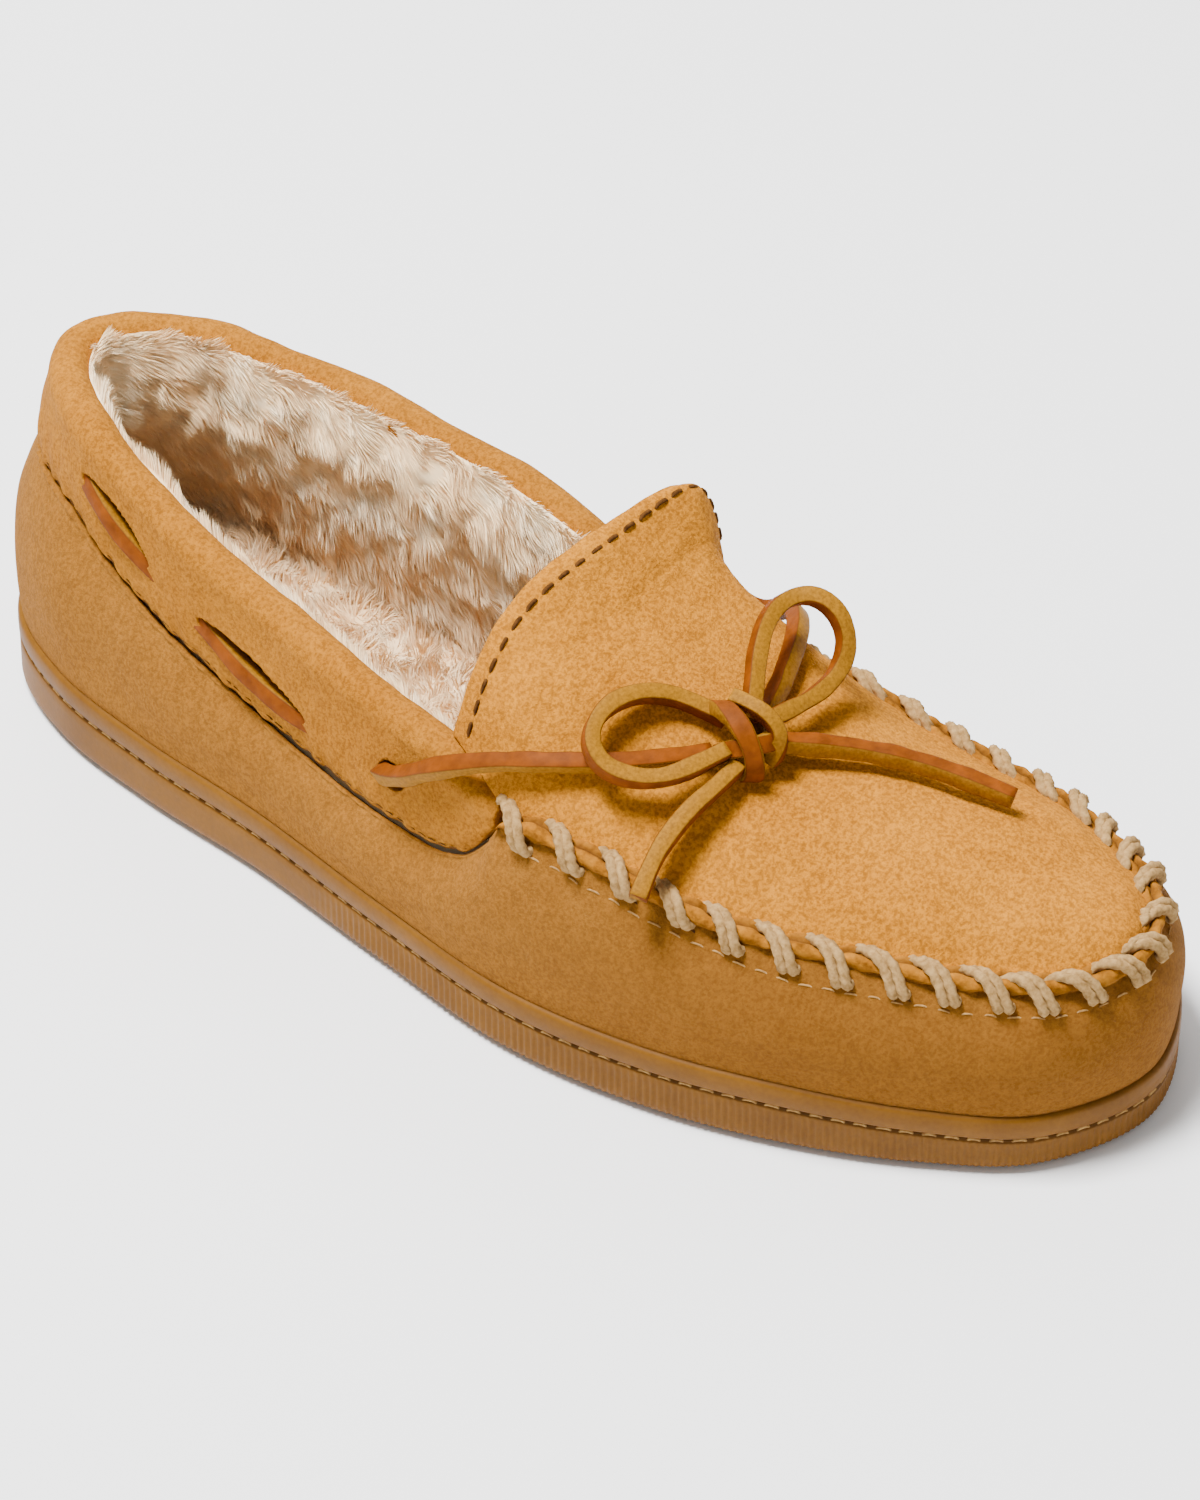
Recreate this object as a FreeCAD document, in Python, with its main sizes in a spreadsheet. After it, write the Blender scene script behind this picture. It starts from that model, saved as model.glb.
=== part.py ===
"""Right-foot hard-sole moccasin slipper: suede wall, plug and tongue, pile lining, lace and bow.

Millimetres, +Z up. The shoe stands on z = 0 with its toe towards -Y, its heel towards +Y,
its outer (lateral) side towards -X and its inner (medial) side towards +X.
"""
import FreeCAD, Part
import math
import os

Vector = FreeCAD.Vector

DIMENSIONS = {
    "shoe_length": 262.0,        # outsole, heel to toe
    "sole_blank": 24.0,          # rubber block before its top is shaped
    "sole_edge_round": 2.5,      # rounded lower edge of the outsole
    "sole_width_reach": 120.0,   # wider than the shoe, for the side profiles
    "board_thick": 1.5,          # insole board
    "foam_thick": 3.0,           # footbed foam
    "footbed_pile": 4.0,         # pile sock on the footbed
    "footbed_inset": 5.2,        # edge of the footbed layers, inside the outline
    "suede_thick": 1.6,
    "counter_thick": 1.2,
    "counter_depth": 2.9,        # stiffener's outer face, under the suede's
    "pile_thick": 2.6,
    "lining_depth": 1.9,         # outer face of a lining, under the suede's
    "collar_radius": 4.2,        # half the thickness of the padded collar
    "collar_leg": 8.0,           # collar suede that turns down inside
    "collar_front": 0.54,        # station where the collar ends
    "cover_thick": 1.4,
    "padding_depth": 1.8,
    "lace_width": 3.3,
    "lace_depth": 3.6,           # middle of the lace, under the collar's face
    "channel_play": 0.25,        # room round the lace in its channel
    "knot_radius": 4.3,
    "cord_gap": 0.3,             # between the knot and each strand
    "whip_radius": 3.6,          # arc of a whipstitch over the seam ridge
    "whip_thread": 1.1,          # radius of the doubled thread
    "whip_stitches": 26.0,
    "thread_radius": 0.35,
    "stitch_length": 2.6,
    "stitch_pitch": 3.8,
    "stitch_lift": 0.3,          # clear of the suede it is sewn on
}

# Plan of the outsole: station (0 heel, 1 toe), lateral and medial half width.
PLAN = [(0.03, 10.5, 24.5), (0.10, 22, 34), (0.20, 28.5, 34), (0.32, 33, 31.5), (0.45, 40.5, 31),
        (0.58, 47, 36.5), (0.70, 45.5, 44.5), (0.80, 39, 47), (0.89, 29, 44.5), (0.96, 16.5, 32.5)]
HEEL_X = 7.5
TOE_X = 7.0

# Heights and insets along the shoe, each as (station, value).
SOLE_TOP = [(0, 17.3), (0.45, 15.5), (0.75, 16.0), (1, 13.3)]
SEAM_HEIGHT = {
    "lateral": [(0, 57), (0.09, 56), (0.14, 51), (0.20, 44.5), (0.25, 41), (0.30, 37.5), (0.36, 35),
                (0.42, 34), (0.48, 34.5), (0.52, 37.5), (0.545, 44), (0.56, 50.5), (0.58, 52),
                (0.65, 50), (0.70, 46.5), (0.75, 43.5), (0.80, 41.5), (0.87, 40), (0.93, 38.5), (1, 38.5)],
    "medial": [(0, 57), (0.09, 56), (0.14, 53), (0.20, 48), (0.25, 45), (0.30, 42), (0.36, 40),
               (0.42, 39), (0.48, 40), (0.52, 42), (0.545, 46), (0.56, 50.5), (0.58, 52),
               (0.65, 50), (0.70, 46.5), (0.75, 43.5), (0.80, 41.5), (0.87, 40), (0.93, 38.5), (1, 38.5)],
}
SEAM_INSET = {
    "lateral": [(0, 7), (0.12, 6), (0.25, 4.5), (0.40, 4), (0.50, 4.5), (0.56, 6.5), (0.65, 8),
                (0.75, 9.5), (0.85, 10.5), (0.93, 10), (1, 6)],
    "medial": [(0, 7), (0.12, 5), (0.25, 2.5), (0.40, 1.5), (0.50, 3), (0.56, 6.5), (0.65, 10),
               (0.75, 12), (0.85, 12.5), (0.93, 11), (1, 6)],
}
COLLAR_TOP = {
    "lateral": [(0, 78), (0.10, 77), (0.17, 73), (0.24, 67.5), (0.30, 64), (0.36, 61), (0.42, 59.5),
                (0.48, 57.5), (0.54, 54)],
    "medial": [(0, 78), (0.10, 77), (0.25, 75), (0.38, 73), (0.46, 68), (0.54, 56)],
}
COLLAR_INSET = {
    "lateral": [(0, 9), (0.15, 6), (0.30, 4.5), (0.54, 5.5)],
    "medial": [(0, 9), (0.15, 5), (0.25, 1), (0.40, 0), (0.54, 4)],
}

# Plug and tongue are one panel: -1 is the tongue's rear edge, 0 the fold, 1 the toe.
CREST_HEIGHT = [(-1, 85), (-0.5, 80), (0, 73.5), (0.12, 64), (0.26, 56.5), (0.40, 54), (0.58, 50.5),
                (0.78, 46), (0.92, 42.5), (1, 39.5)]
CREST_POWER = [(-1, 4.0), (0, 3.0), (0.25, 2.2), (1, 2.0)]
TONGUE_LATERAL = Vector(-32, 1, 57)
TONGUE_MEDIAL = Vector(38, -12, 64)
FOLD_STATION = {"lateral": 0.565, "medial": 0.575}
TOE_GAP = 0.004

# Lace routes, each point placed by hand.
KNOT = Vector(-9, -49, 63.5)
FRONT_LATERAL = [(-39.3, 9.2, 48), (-40.2, -1.8, 57), (-37.5, -12, 61.5), (-34, -24, 64.5),
                 (-24.5, -37, 64), (-13.6, -44.4, 62.2)]
FRONT_MEDIAL = [(33.5, 11, 55), (38, 1, 57.5), (40.5, -11, 57), (37.5, -22, 53.5), (33.5, -31.5, 57.5),
                (23, -40, 60.5), (6, -46, 62.5), (-4.2, -47.6, 63)]
LOOP_LATERAL = [(-7.5, -43.8, 66), (-9.6, -37, 68.8), (-14, -32, 71.5), (-20, -29, 73), (-25.5, -27.7, 72.4),
                (-30.6, -28.7, 70), (-32.4, -32.6, 66.8), (-30.5, -37.8, 65), (-26.7, -42.3, 64.3),
                (-20.6, -45.6, 64.6), (-13.9, -47.9, 65)]
LOOP_MEDIAL = [(-6, -48, 67.4), (-1, -45.5, 70.7), (3.4, -43, 73.6), (10.4, -40.3, 76), (17, -40, 76.6),
               (21, -43.8, 77), (22, -48.7, 74.6), (20.5, -52.2, 69.8), (16.5, -53, 65.4), (9.5, -52.6, 64.4),
               (2.5, -51.4, 65.3), (-3.4, -50, 65.9)]
TAIL_LATERAL = [(-13.4, -50.2, 61.9), (-19.5, -49.9, 61.3), (-26, -48.6, 60), (-32.5, -48, 57.8),
                (-38.5, -48.2, 55.3), (-44.2, -49.2, 51.5)]
TAIL_MEDIAL = [(-4.7, -51.9, 62.6), (3, -60, 60.4), (9.5, -70.2, 58.2), (14.2, -80.8, 55.6), (17, -91.5, 53)]
COLLAR_SLOTS = [(0.118, 0.197), (0.25, 0.36)]
COLLAR_EXIT = 0.448
LACE_HEIGHT = [(0, 0.26), (0.12, 0.28), (0.20, 0.22), (0.25, 0.20), (0.36, 0.16), (0.45, 0.22)]

doc = FreeCAD.newDocument("moccasin")
sheet = doc.addObject("Spreadsheet::Sheet", "Sheet")
for row, (alias, value) in enumerate(DIMENSIONS.items(), start=1):
    sheet.set("A%d" % row, alias)
    sheet.set("B%d" % row, str(value))
    sheet.setAlias("B%d" % row, alias)
doc.recompute()


def size(alias):
    """A driving dimension, read back from the sheet."""
    return float(sheet.get(alias))


LENGTH = size("shoe_length")
SUEDE = size("suede_thick")
PARTS = {}


# ---- curves that every layer shares ----------------------------------------------------------

def plan_points():
    """Corners of the outsole's plan, from the heel round the lateral side to the toe and back."""
    lateral = [Vector(-a, LENGTH * (0.5 - t), 0) for t, a, b in PLAN]
    medial = [Vector(b, LENGTH * (0.5 - t), 0) for t, a, b in reversed(PLAN)]
    return [Vector(HEEL_X, LENGTH / 2, 0)] + lateral + [Vector(TOE_X, -LENGTH / 2, 0)] + medial


CORNERS = plan_points()
KNOTS = [0.0]
for here, there in zip(CORNERS, CORNERS[1:] + CORNERS[:1]):
    KNOTS.append(KNOTS[-1] + math.sqrt((there - here).Length))
U_TOE = KNOTS[len(PLAN) + 1] / KNOTS[-1]


def outline(u):
    """Point of the plan at u, 0 to 1 round the shoe: a centripetal Catmull-Rom curve."""
    count = len(CORNERS)
    s = (u % 1.0) * KNOTS[-1]
    i = max(j for j in range(count) if KNOTS[j] <= s)
    p = [CORNERS[(i + j - 1) % count] for j in range(4)]
    k = [KNOTS[(i + j - 1) % count] + (i + j - 1) // count * KNOTS[-1] for j in range(4)]
    gap = k[2] - k[1]
    x = (s - k[1]) / gap

    def tangent(j):
        before = (p[j] - p[j - 1]) * (1 / (k[j] - k[j - 1]))
        after = (p[j + 1] - p[j]) * (1 / (k[j + 1] - k[j]))
        return (before * (k[j + 1] - k[j]) + after * (k[j] - k[j - 1])) * (gap / (k[j + 1] - k[j - 1]))

    return (p[1] * (2 * x**3 - 3 * x**2 + 1) + tangent(1) * (x**3 - 2 * x**2 + x)
            + p[2] * (3 * x**2 - 2 * x**3) + tangent(2) * (x**3 - x**2))


def outward(u):
    """Outward normal of the plan at u."""
    step = outline(u + 0.001) - outline(u - 0.001)
    return Vector(step.y, -step.x, 0).normalize() * (-1 if CLOCKWISE else 1)


CLOCKWISE = False
CLOCKWISE = outward(U_TOE / 2).x > 0


def profile(rows, x):
    """Smooth value at x of a table of (x, value) rows, without overshoot."""
    if x <= rows[0][0]:
        return rows[0][1]
    if x >= rows[-1][0]:
        return rows[-1][1]
    i = max(j for j in range(len(rows) - 1) if rows[j][0] <= x)

    def slope(j):
        if j in (0, len(rows) - 1):
            return 0.0
        before = (rows[j][1] - rows[j - 1][1]) / (rows[j][0] - rows[j - 1][0])
        after = (rows[j + 1][1] - rows[j][1]) / (rows[j + 1][0] - rows[j][0])
        return 2 * before * after / (before + after) if before * after > 0 else 0.0

    gap = rows[i + 1][0] - rows[i][0]
    w = (x - rows[i][0]) / gap
    return (rows[i][1] * (2 * w**3 - 3 * w**2 + 1) + slope(i) * gap * (w**3 - 2 * w**2 + w)
            + rows[i + 1][1] * (3 * w**2 - 2 * w**3) + slope(i + 1) * gap * (w**3 - w**2))


def side_of(u):
    return "lateral" if u % 1.0 < U_TOE else "medial"


def station(u):
    return 0.5 - outline(u).y / LENGTH


def u_at(t, side):
    """Where on one side the plan reaches station t."""
    low, high = (0.0, U_TOE) if side == "lateral" else (1.0, U_TOE)
    for _ in range(40):
        middle = (low + high) / 2
        if station(middle) < t:
            low = middle
        else:
            high = middle
    return (low + high) / 2


def ring(u, inset, height):
    point = outline(u) - outward(u) * inset
    return Vector(point.x, point.y, height)


def seam(u, depth=0.0):
    t = station(u)
    side = side_of(u)
    return ring(u, profile(SEAM_INSET[side], t) + depth, profile(SEAM_HEIGHT[side], t))


# ---- surfaces: each gives a point and is offset inwards by a depth ----------------------------

def in_section(u, curve, v, depth):
    """Point v of a section curve of (inset, height), moved inwards by depth."""
    a = curve(v - 0.004)
    b = curve(v + 0.004)
    run = math.hypot(b[0] - a[0], b[1] - a[1])
    inset, height = curve(v)
    return ring(u, inset + (b[1] - a[1]) / run * depth, height - (b[0] - a[0]) / run * depth)


def wall(u, v, depth=0.0):
    """Side of the shoe, from the outsole (v = 0) to the seam (v = 1)."""
    t = station(u)
    side = side_of(u)
    foot = (1.6, profile(SOLE_TOP, t) + 0.15)
    top = (profile(SEAM_INSET[side], t), profile(SEAM_HEIGHT[side], t))
    belly = (-2.6, foot[1] + 0.62 * (top[1] - foot[1]))

    def curve(w):
        return tuple(foot[i] * (1 - w)**2 + 2 * belly[i] * w * (1 - w) + top[i] * w * w for i in (0, 1))

    return in_section(u, curve, v, depth)


def collar(u, v, depth=0.0):
    """Padded collar: up the outside to v = 0.4, over the roll to v = 0.75, down inside to v = 1."""
    t = station(u)
    side = side_of(u)
    radius = size("collar_radius")
    face = profile(COLLAR_INSET[side], t)
    crown = profile(COLLAR_TOP[side], t) - radius
    start = (profile(SEAM_INSET[side], t), profile(SEAM_HEIGHT[side], t) + 0.3)

    def curve(w):
        if w < 0.4:
            x = w / 0.4
            bow = 1.2 * x * (1 - x) * 4
            return (start[0] + (face - start[0]) * x - bow * (1 - x), start[1] + (crown - start[1]) * x)
        if w < 0.75:
            angle = math.pi * (w - 0.4) / 0.35
            return (face + radius - radius * math.cos(angle), crown + radius * math.sin(angle))
        return (face + 2 * radius, crown - size("collar_leg") * (w - 0.75) / 0.25)

    return in_section(u, curve, v, depth)


def quarter(u, v, depth=0.0):
    """Pile lining of the back half, from the footbed up to the collar's inner leg."""
    t = station(u)
    side = side_of(u)
    radius = size("collar_radius")
    low = (5.0, profile(SOLE_TOP, t) + 10.4)
    high = (profile(COLLAR_INSET[side], t) + 2 * radius - size("pile_thick"),
            profile(COLLAR_TOP[side], t) - radius - size("collar_leg") - 1.2)
    belly = (high[0], low[1] + 0.6 * (high[1] - low[1]))

    def curve(w):
        return tuple(low[i] * (1 - w)**2 + 2 * belly[i] * w * (1 - w) + high[i] * w * w for i in (0, 1))

    return in_section(u, curve, v, depth)


def panel_point(f, s):
    if f < 0:
        a = seam(u_at(FOLD_STATION["lateral"], "lateral"), 0.3)
        b = seam(u_at(FOLD_STATION["medial"], "medial"), 0.3)
        a = a + (TONGUE_LATERAL - a) * (-f)
        b = b + (TONGUE_MEDIAL - b) * (-f)
    else:
        a = seam(u_at(FOLD_STATION["lateral"], "lateral") * (1 - f) + (U_TOE - TOE_GAP) * f, 0.3)
        b = seam(u_at(FOLD_STATION["medial"], "medial") * (1 - f) + (U_TOE + TOE_GAP) * f, 0.3)
    rise = profile(CREST_HEIGHT, f) - (a.z + b.z) / 2
    point = a + (b - a) * ((s + 1) / 2)
    return point + Vector(0, 0, rise * (1 - abs(s)**profile(CREST_POWER, f)))


def panel(f, s, depth=0.0):
    """Plug and tongue: f along the shoe, s from the lateral (-1) to the medial edge (1)."""
    along = panel_point(f - 0.01, s) - panel_point(f + 0.01, s)
    low = max(-0.999, s - 0.02)
    high = min(0.999, s + 0.02)
    across = panel_point(f, high) - panel_point(f, low)
    normal = across.cross(along).normalize()
    return panel_point(f, s) - normal * depth


# ---- solids ----------------------------------------------------------------------------------

def span(low, high, count):
    return [low + (high - low) * i / (count - 1) for i in range(count)]


def surface_through(grid):
    surface = Part.BSplineSurface()
    surface.interpolate(grid)
    return surface


def layer_solid(outer, inner):
    """Closed solid between two grids of points, with ruled rims."""
    top = surface_through(outer)
    bottom = surface_through(inner)
    u0, u1, v0, v1 = top.bounds()
    rims = [(top.uIso(u0), bottom.uIso(u0)), (top.uIso(u1), bottom.uIso(u1)),
            (top.vIso(v0), bottom.vIso(v0)), (top.vIso(v1), bottom.vIso(v1))]
    faces = [top.toShape(), bottom.toShape()]
    for one, two in rims:
        faces += Part.makeLoft([Part.Wire(one.toShape()), Part.Wire(two.toShape())], False, True).Faces
    shell = Part.makeShell(faces)
    shell.sewShape()
    solid = Part.makeSolid(shell)
    if solid.Volume < 0:
        solid.reverse()
    return solid


def layer(surface, us, vs, depth, thick):
    """Layer of even thickness under a surface, between depth and depth + thick."""
    outer = [[surface(u, v, depth) for v in vs] for u in us]
    inner = [[surface(u, v, depth + thick) for v in vs] for u in us]
    return layer_solid(outer, inner)


def add(label, shape):
    """Sub-part that only Part's own functions can shape."""
    feature = doc.addObject("Part::Feature", label)
    feature.Shape = shape
    feature.Label = label
    feature.Placement = FreeCAD.Placement()
    PARTS[label] = feature
    return feature


def path_of(points, label):
    """Straight runs joined by tangent arcs, as large as the runs allow."""
    p = [Vector(*q) for q in points]
    edges = []
    radii = []
    start = p[0]
    for a, b, c in zip(p, p[1:], p[2:]):
        back = (a - b).normalize()
        ahead = (c - b).normalize()
        turn = math.pi - back.getAngle(ahead)
        reach = 0.45 * min((a - b).Length, (c - b).Length)
        radii.append(round(reach / math.tan(turn / 2), 1))
        enter = b + back * reach
        leave = b + ahead * reach
        bisector = (back + ahead).normalize()
        radius = reach / math.tan(turn / 2)
        middle = b + bisector * (math.hypot(radius, reach) - radius)
        edges.append(Part.LineSegment(start, enter).toShape())
        edges.append(Part.Arc(enter, middle, leave).toShape())
        start = leave
    edges.append(Part.LineSegment(start, p[-1]).toShape())
    wire = Part.Wire(edges)
    print(label, "length", round(wire.Length, 1), "arc radii", radii)
    return wire


def tube(points, radius, label):
    """Round solid of one radius along a lace route."""
    wire = path_of(points, label)
    direction = Vector(*points[1]) - Vector(*points[0])
    circle = Part.Wire(Part.makeCircle(radius, Vector(*points[0]), direction))
    shape = wire.makePipeShell([circle], True, False)
    drift = shape.Volume / (math.pi * radius**2 * wire.Length) - 1
    print(label, "volume against section times length: %.3f" % drift)
    return shape


# ---- sole and footbed ------------------------------------------------------------------------

def outline_wire(inset):
    points = [ring(u, inset, 0) for u in span(0, 1, 61)[:-1]]
    curve = Part.BSplineCurve()
    curve.interpolate(points, PeriodicFlag=True)
    return Part.Wire(curve.toShape())


def blank(label, inset, height_alias):
    """Block with the plan of the sole, moved inwards by an inset."""
    plan = doc.addObject("Part::Feature", label + "_plan")
    plan.Shape = outline_wire(inset)
    block = doc.addObject("Part::Extrusion", label + "_blank")
    block.Base = plan
    block.Dir = Vector(0, 0, 1)
    block.Solid = True
    block.setExpression("LengthFwd", "Sheet." + height_alias)
    return block


def side_band(label, low, high):
    """Band between two heights over the sole line, right across the shoe."""
    reach = LENGTH / 2 + 10

    def line(height):
        stations = span(0, 1, 9)
        points = [Vector(0, LENGTH * (0.5 - t), profile(SOLE_TOP, t) + height) for t in stations]
        points = [Vector(0, reach, points[0].z)] + points + [Vector(0, -reach, points[-1].z)]
        curve = Part.BSplineCurve()
        curve.interpolate(points)
        return curve.toShape()

    upper = line(high)
    lower = line(low) if low is not None else Part.makeLine(Vector(0, reach, -1), Vector(0, -reach, -1))
    ends = [Part.makeLine(upper.Vertexes[i].Point, lower.Vertexes[i].Point) for i in (0, -1)]
    face = doc.addObject("Part::Feature", label + "_side")
    face.Shape = Part.Face(Part.Wire(Part.__sortEdges__([upper, lower] + ends)))
    band = doc.addObject("Part::Extrusion", label + "_band")
    band.Base = face
    band.Dir = Vector(1, 0, 0)
    band.Symmetric = True
    band.Solid = True
    band.setExpression("LengthFwd", "Sheet.sole_width_reach")
    return band


def common(label, block, band):
    shape = doc.addObject("Part::Common", label)
    shape.Base = block
    shape.Tool = band
    shape.Label = label
    shape.Placement = FreeCAD.Placement()
    PARTS[label] = shape
    return shape


def make_outsole():
    block = blank("outsole", 0.0, "sole_blank")
    doc.recompute()
    rounded = doc.addObject("Part::Fillet", "outsole_rounded")
    rounded.Base = block
    lowest = [i + 1 for i, edge in enumerate(block.Shape.Edges) if edge.BoundBox.ZMax < 0.01]
    rounded.Edges = [(i, size("sole_edge_round"), size("sole_edge_round")) for i in lowest]
    common("outsole", rounded, side_band("outsole", None, 0.0))


def make_footbed():
    floor = 0.0
    for label, alias in (("insole_board", "board_thick"), ("footbed_foam", "foam_thick"),
                         ("footbed_pile", "footbed_pile")):
        block = blank(label, size("footbed_inset"), "sole_blank")
        block.LengthRev = 0
        block.setExpression("LengthFwd", "Sheet.sole_blank * 2")
        common(label, block, side_band(label, floor, floor + size(alias)))
        floor += size(alias)


# ---- upper -----------------------------------------------------------------------------------

def around(front, count):
    """Stations of u over the heel, from the lateral front end to the medial front end."""
    lateral = u_at(front, "lateral")
    medial = u_at(front, "medial") - 1
    return span(lateral, medial, count)


def make_wall():
    us = span(0.001, 0.999, 64)
    add("side_wall", layer(wall, us, span(0, 1, 7), 0.0, SUEDE))
    add("heel_counter", layer(wall, around(0.26, 41), span(0.36, 0.90, 7),
                              size("counter_depth"), size("counter_thick")))


def make_linings():
    add("quarter_lining", layer(quarter, around(0.49, 41), span(0, 1, 7), 0.0, size("pile_thick")))
    lateral = u_at(0.50, "lateral")
    medial = u_at(0.50, "medial")
    add("vamp_lining", layer(wall, span(lateral, medial, 41), span(0.36, 0.80, 5),
                             size("lining_depth"), size("pile_thick")))
    across = span(-0.80, 0.80, 9)
    add("plug_lining", layer(panel, [0.04, 0.12, 0.20, 0.30, 0.42, 0.56, 0.70, 0.82, 0.90], across,
                             size("lining_depth"), size("pile_thick")))
    add("tongue_lining", layer(panel, span(-0.94, -0.20, 7), span(-0.80, 0.84, 13),
                               size("lining_depth"), size("pile_thick")))


def make_panel():
    rows = [0.012, 0.06, 0.12, 0.19, 0.28, 0.38, 0.50, 0.62, 0.74, 0.84, 0.92, 0.97, 1.0]
    edge = 0.995
    add("plug", layer(panel, rows, span(-edge, edge, 13), 0.0, SUEDE))
    add("tongue", layer(panel, span(-1.0, -0.10, 7), span(-0.94, edge, 15), 0.0, SUEDE))


def lace_in_collar(u, depth):
    return collar(u, profile(LACE_HEIGHT, station(u)), depth)


def collar_run():
    """Route of the lace inside the collar, out through an exit at each front end."""
    inner = [lace_in_collar(u, size("lace_depth")) for u in around(COLLAR_EXIT - 0.035, 21)]
    return [Vector(*FRONT_LATERAL[0])] + inner + [Vector(*FRONT_MEDIAL[0])]


def slot_cutter(side, start, end):
    """Rounded bar that opens the collar's face along the lace, between two stations."""
    low = u_at(start, side)
    high = u_at(end, side)
    points = [lace_in_collar(u, 0.4) for u in span(low, high, 5)]
    return tube(points, size("lace_width") / 2 + 0.5, "slot")


def make_collar():
    us = around(size("collar_front"), 41)
    cover = layer(collar, us, span(0, 1, 15), 0.0, size("cover_thick"))
    deep = size("padding_depth")
    outer = [[collar(u, v, deep) for v in span(0.06, 0.54, 13)] for u in us[1:-1]]
    inner = [[collar(u, v, deep) for v in span(0.93, 0.61, 13)] for u in us[1:-1]]
    padding = layer_solid(outer, inner)
    run = collar_run()
    channel = tube(run, size("lace_width") / 2 + size("channel_play"), "channel")
    cover = cover.cut(channel)
    for side in ("lateral", "medial"):
        for start, end in COLLAR_SLOTS:
            cover = cover.cut(slot_cutter(side, start, end))
    add("collar_cover", cover)
    add("collar_padding", padding.cut(channel))
    gap = 2 * size("cord_gap")
    add("lace_collar_run", tube(trimmed(run, gap, gap), size("lace_width") / 2, "lace_collar_run"))


# ---- lace and bow ----------------------------------------------------------------------------

def trimmed(points, start, end):
    """Route with its first and last points drawn in by a gap."""
    p = [Vector(*q) for q in points]
    first = p[0] + (p[1] - p[0]).normalize() * start
    last = p[-1] + (p[-2] - p[-1]).normalize() * end
    return [first] + p[1:-1] + [last]


def make_lace():
    radius = size("lace_width") / 2
    gap = size("cord_gap")
    add("bow_knot", Part.makeSphere(size("knot_radius"), KNOT))
    add("lace_front_lateral", tube(trimmed(FRONT_LATERAL, 2 * gap, 0), radius, "lace_front_lateral"))
    add("lace_front_medial", tube(trimmed(FRONT_MEDIAL, 2 * gap, 0), radius, "lace_front_medial"))
    add("bow_loop_lateral", tube(LOOP_LATERAL, radius, "bow_loop_lateral"))
    add("bow_loop_medial", tube(LOOP_MEDIAL, radius, "bow_loop_medial"))
    add("lace_tail_lateral", tube(TAIL_LATERAL, radius, "lace_tail_lateral"))
    add("lace_tail_medial", tube(TAIL_MEDIAL, radius, "lace_tail_medial"))


# ---- stitching -------------------------------------------------------------------------------

def make_whip_stitches():
    """Thick doubled thread: short arcs over the ridge where the plug meets the wall."""
    count = int(size("whip_stitches"))
    start = u_at(FOLD_STATION["lateral"] + 0.012, "lateral")
    end = u_at(FOLD_STATION["medial"] + 0.012, "medial")
    arcs = []
    for u in span(start, end, count):
        across = outward(u)
        along = Vector(0, 0, 1).cross(across)
        centre = seam(u) - Vector(0, 0, 0.4)
        arc = Part.makeTorus(size("whip_radius"), size("whip_thread"), Vector(0, 0, 0), Vector(0, 0, 1),
                             0, 360, 140)
        frame = FreeCAD.Matrix(across.x, 0, along.x, centre.x, across.y, 0, along.y, centre.y,
                               0, 1, 0, centre.z, 0, 0, 0, 1)
        turn = FreeCAD.Rotation(Vector(0, 0, 1), 20)
        arc.Placement = FreeCAD.Placement(frame).multiply(FreeCAD.Placement(Vector(0, 0, 0), turn))
        above = arc.cut([PARTS["side_wall"].Shape, PARTS["vamp_lining"].Shape])
        arcs.append(max(above.Solids, key=lambda piece: piece.Volume))
    add("whip_stitches", Part.makeCompound(arcs))


def stitch_row(route, radius):
    """Row of short stitches lying on a route, which gives points for 0 to 1."""
    points = [route(x) for x in span(0, 1, 241)]
    stitches = []
    travelled = 0.0
    here = points[0]
    begin = None
    for point in points[1:]:
        travelled += (point - here).Length
        here = point
        phase = travelled % size("stitch_pitch")
        if begin is None and phase < size("stitch_length") * 0.5:
            begin = point
        elif begin is not None and (point - begin).Length >= size("stitch_length"):
            stitches.append(Part.makeCylinder(radius, (point - begin).Length, begin, point - begin))
            begin = None
    return Part.makeCompound(stitches)


def make_thread():
    radius = size("thread_radius")
    lift = radius + size("stitch_lift")
    lateral = u_at(0.535, "lateral")
    medial = u_at(0.535, "medial") - 1
    add("collar_stitches", stitch_row(
        lambda x: collar(lateral + (medial - lateral) * x, 0.045, -lift), radius))
    add("tongue_stitches", stitch_row(lambda x: panel(-0.82, -0.88 + 1.81 * x, -lift), radius))


make_outsole()
make_footbed()
make_wall()
make_linings()
make_panel()
make_collar()
make_lace()
make_whip_stitches()
make_thread()
doc.recompute()
for label, part in PARTS.items():
    if "Invalid" in part.State or "Error" in part.State:
        raise RuntimeError("%s failed: %s" % (label, part.State))
    if part.Shape.isNull() or not part.Shape.isValid() or part.Shape.Volume <= 0:
        raise RuntimeError("%s has no valid solid" % label)
    print(label, "volume", round(part.Shape.Volume), "solids", len(part.Shape.Solids))
os.makedirs("parts", exist_ok=True)
for label, part in PARTS.items():
    part.Shape.exportStep("parts/%s.step" % label)
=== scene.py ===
"""Looks of a right-foot moccasin slipper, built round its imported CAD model.

The shape formulas work in millimetres, in the CAD model's frame: toe towards -Y, heel towards +Y,
outer (lateral) side towards -X. Meshes are written in metres.
"""
import math

import bmesh
import bpy
import numpy as np
from mathutils import Matrix, Vector
from mathutils.bvhtree import BVHTree


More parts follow.
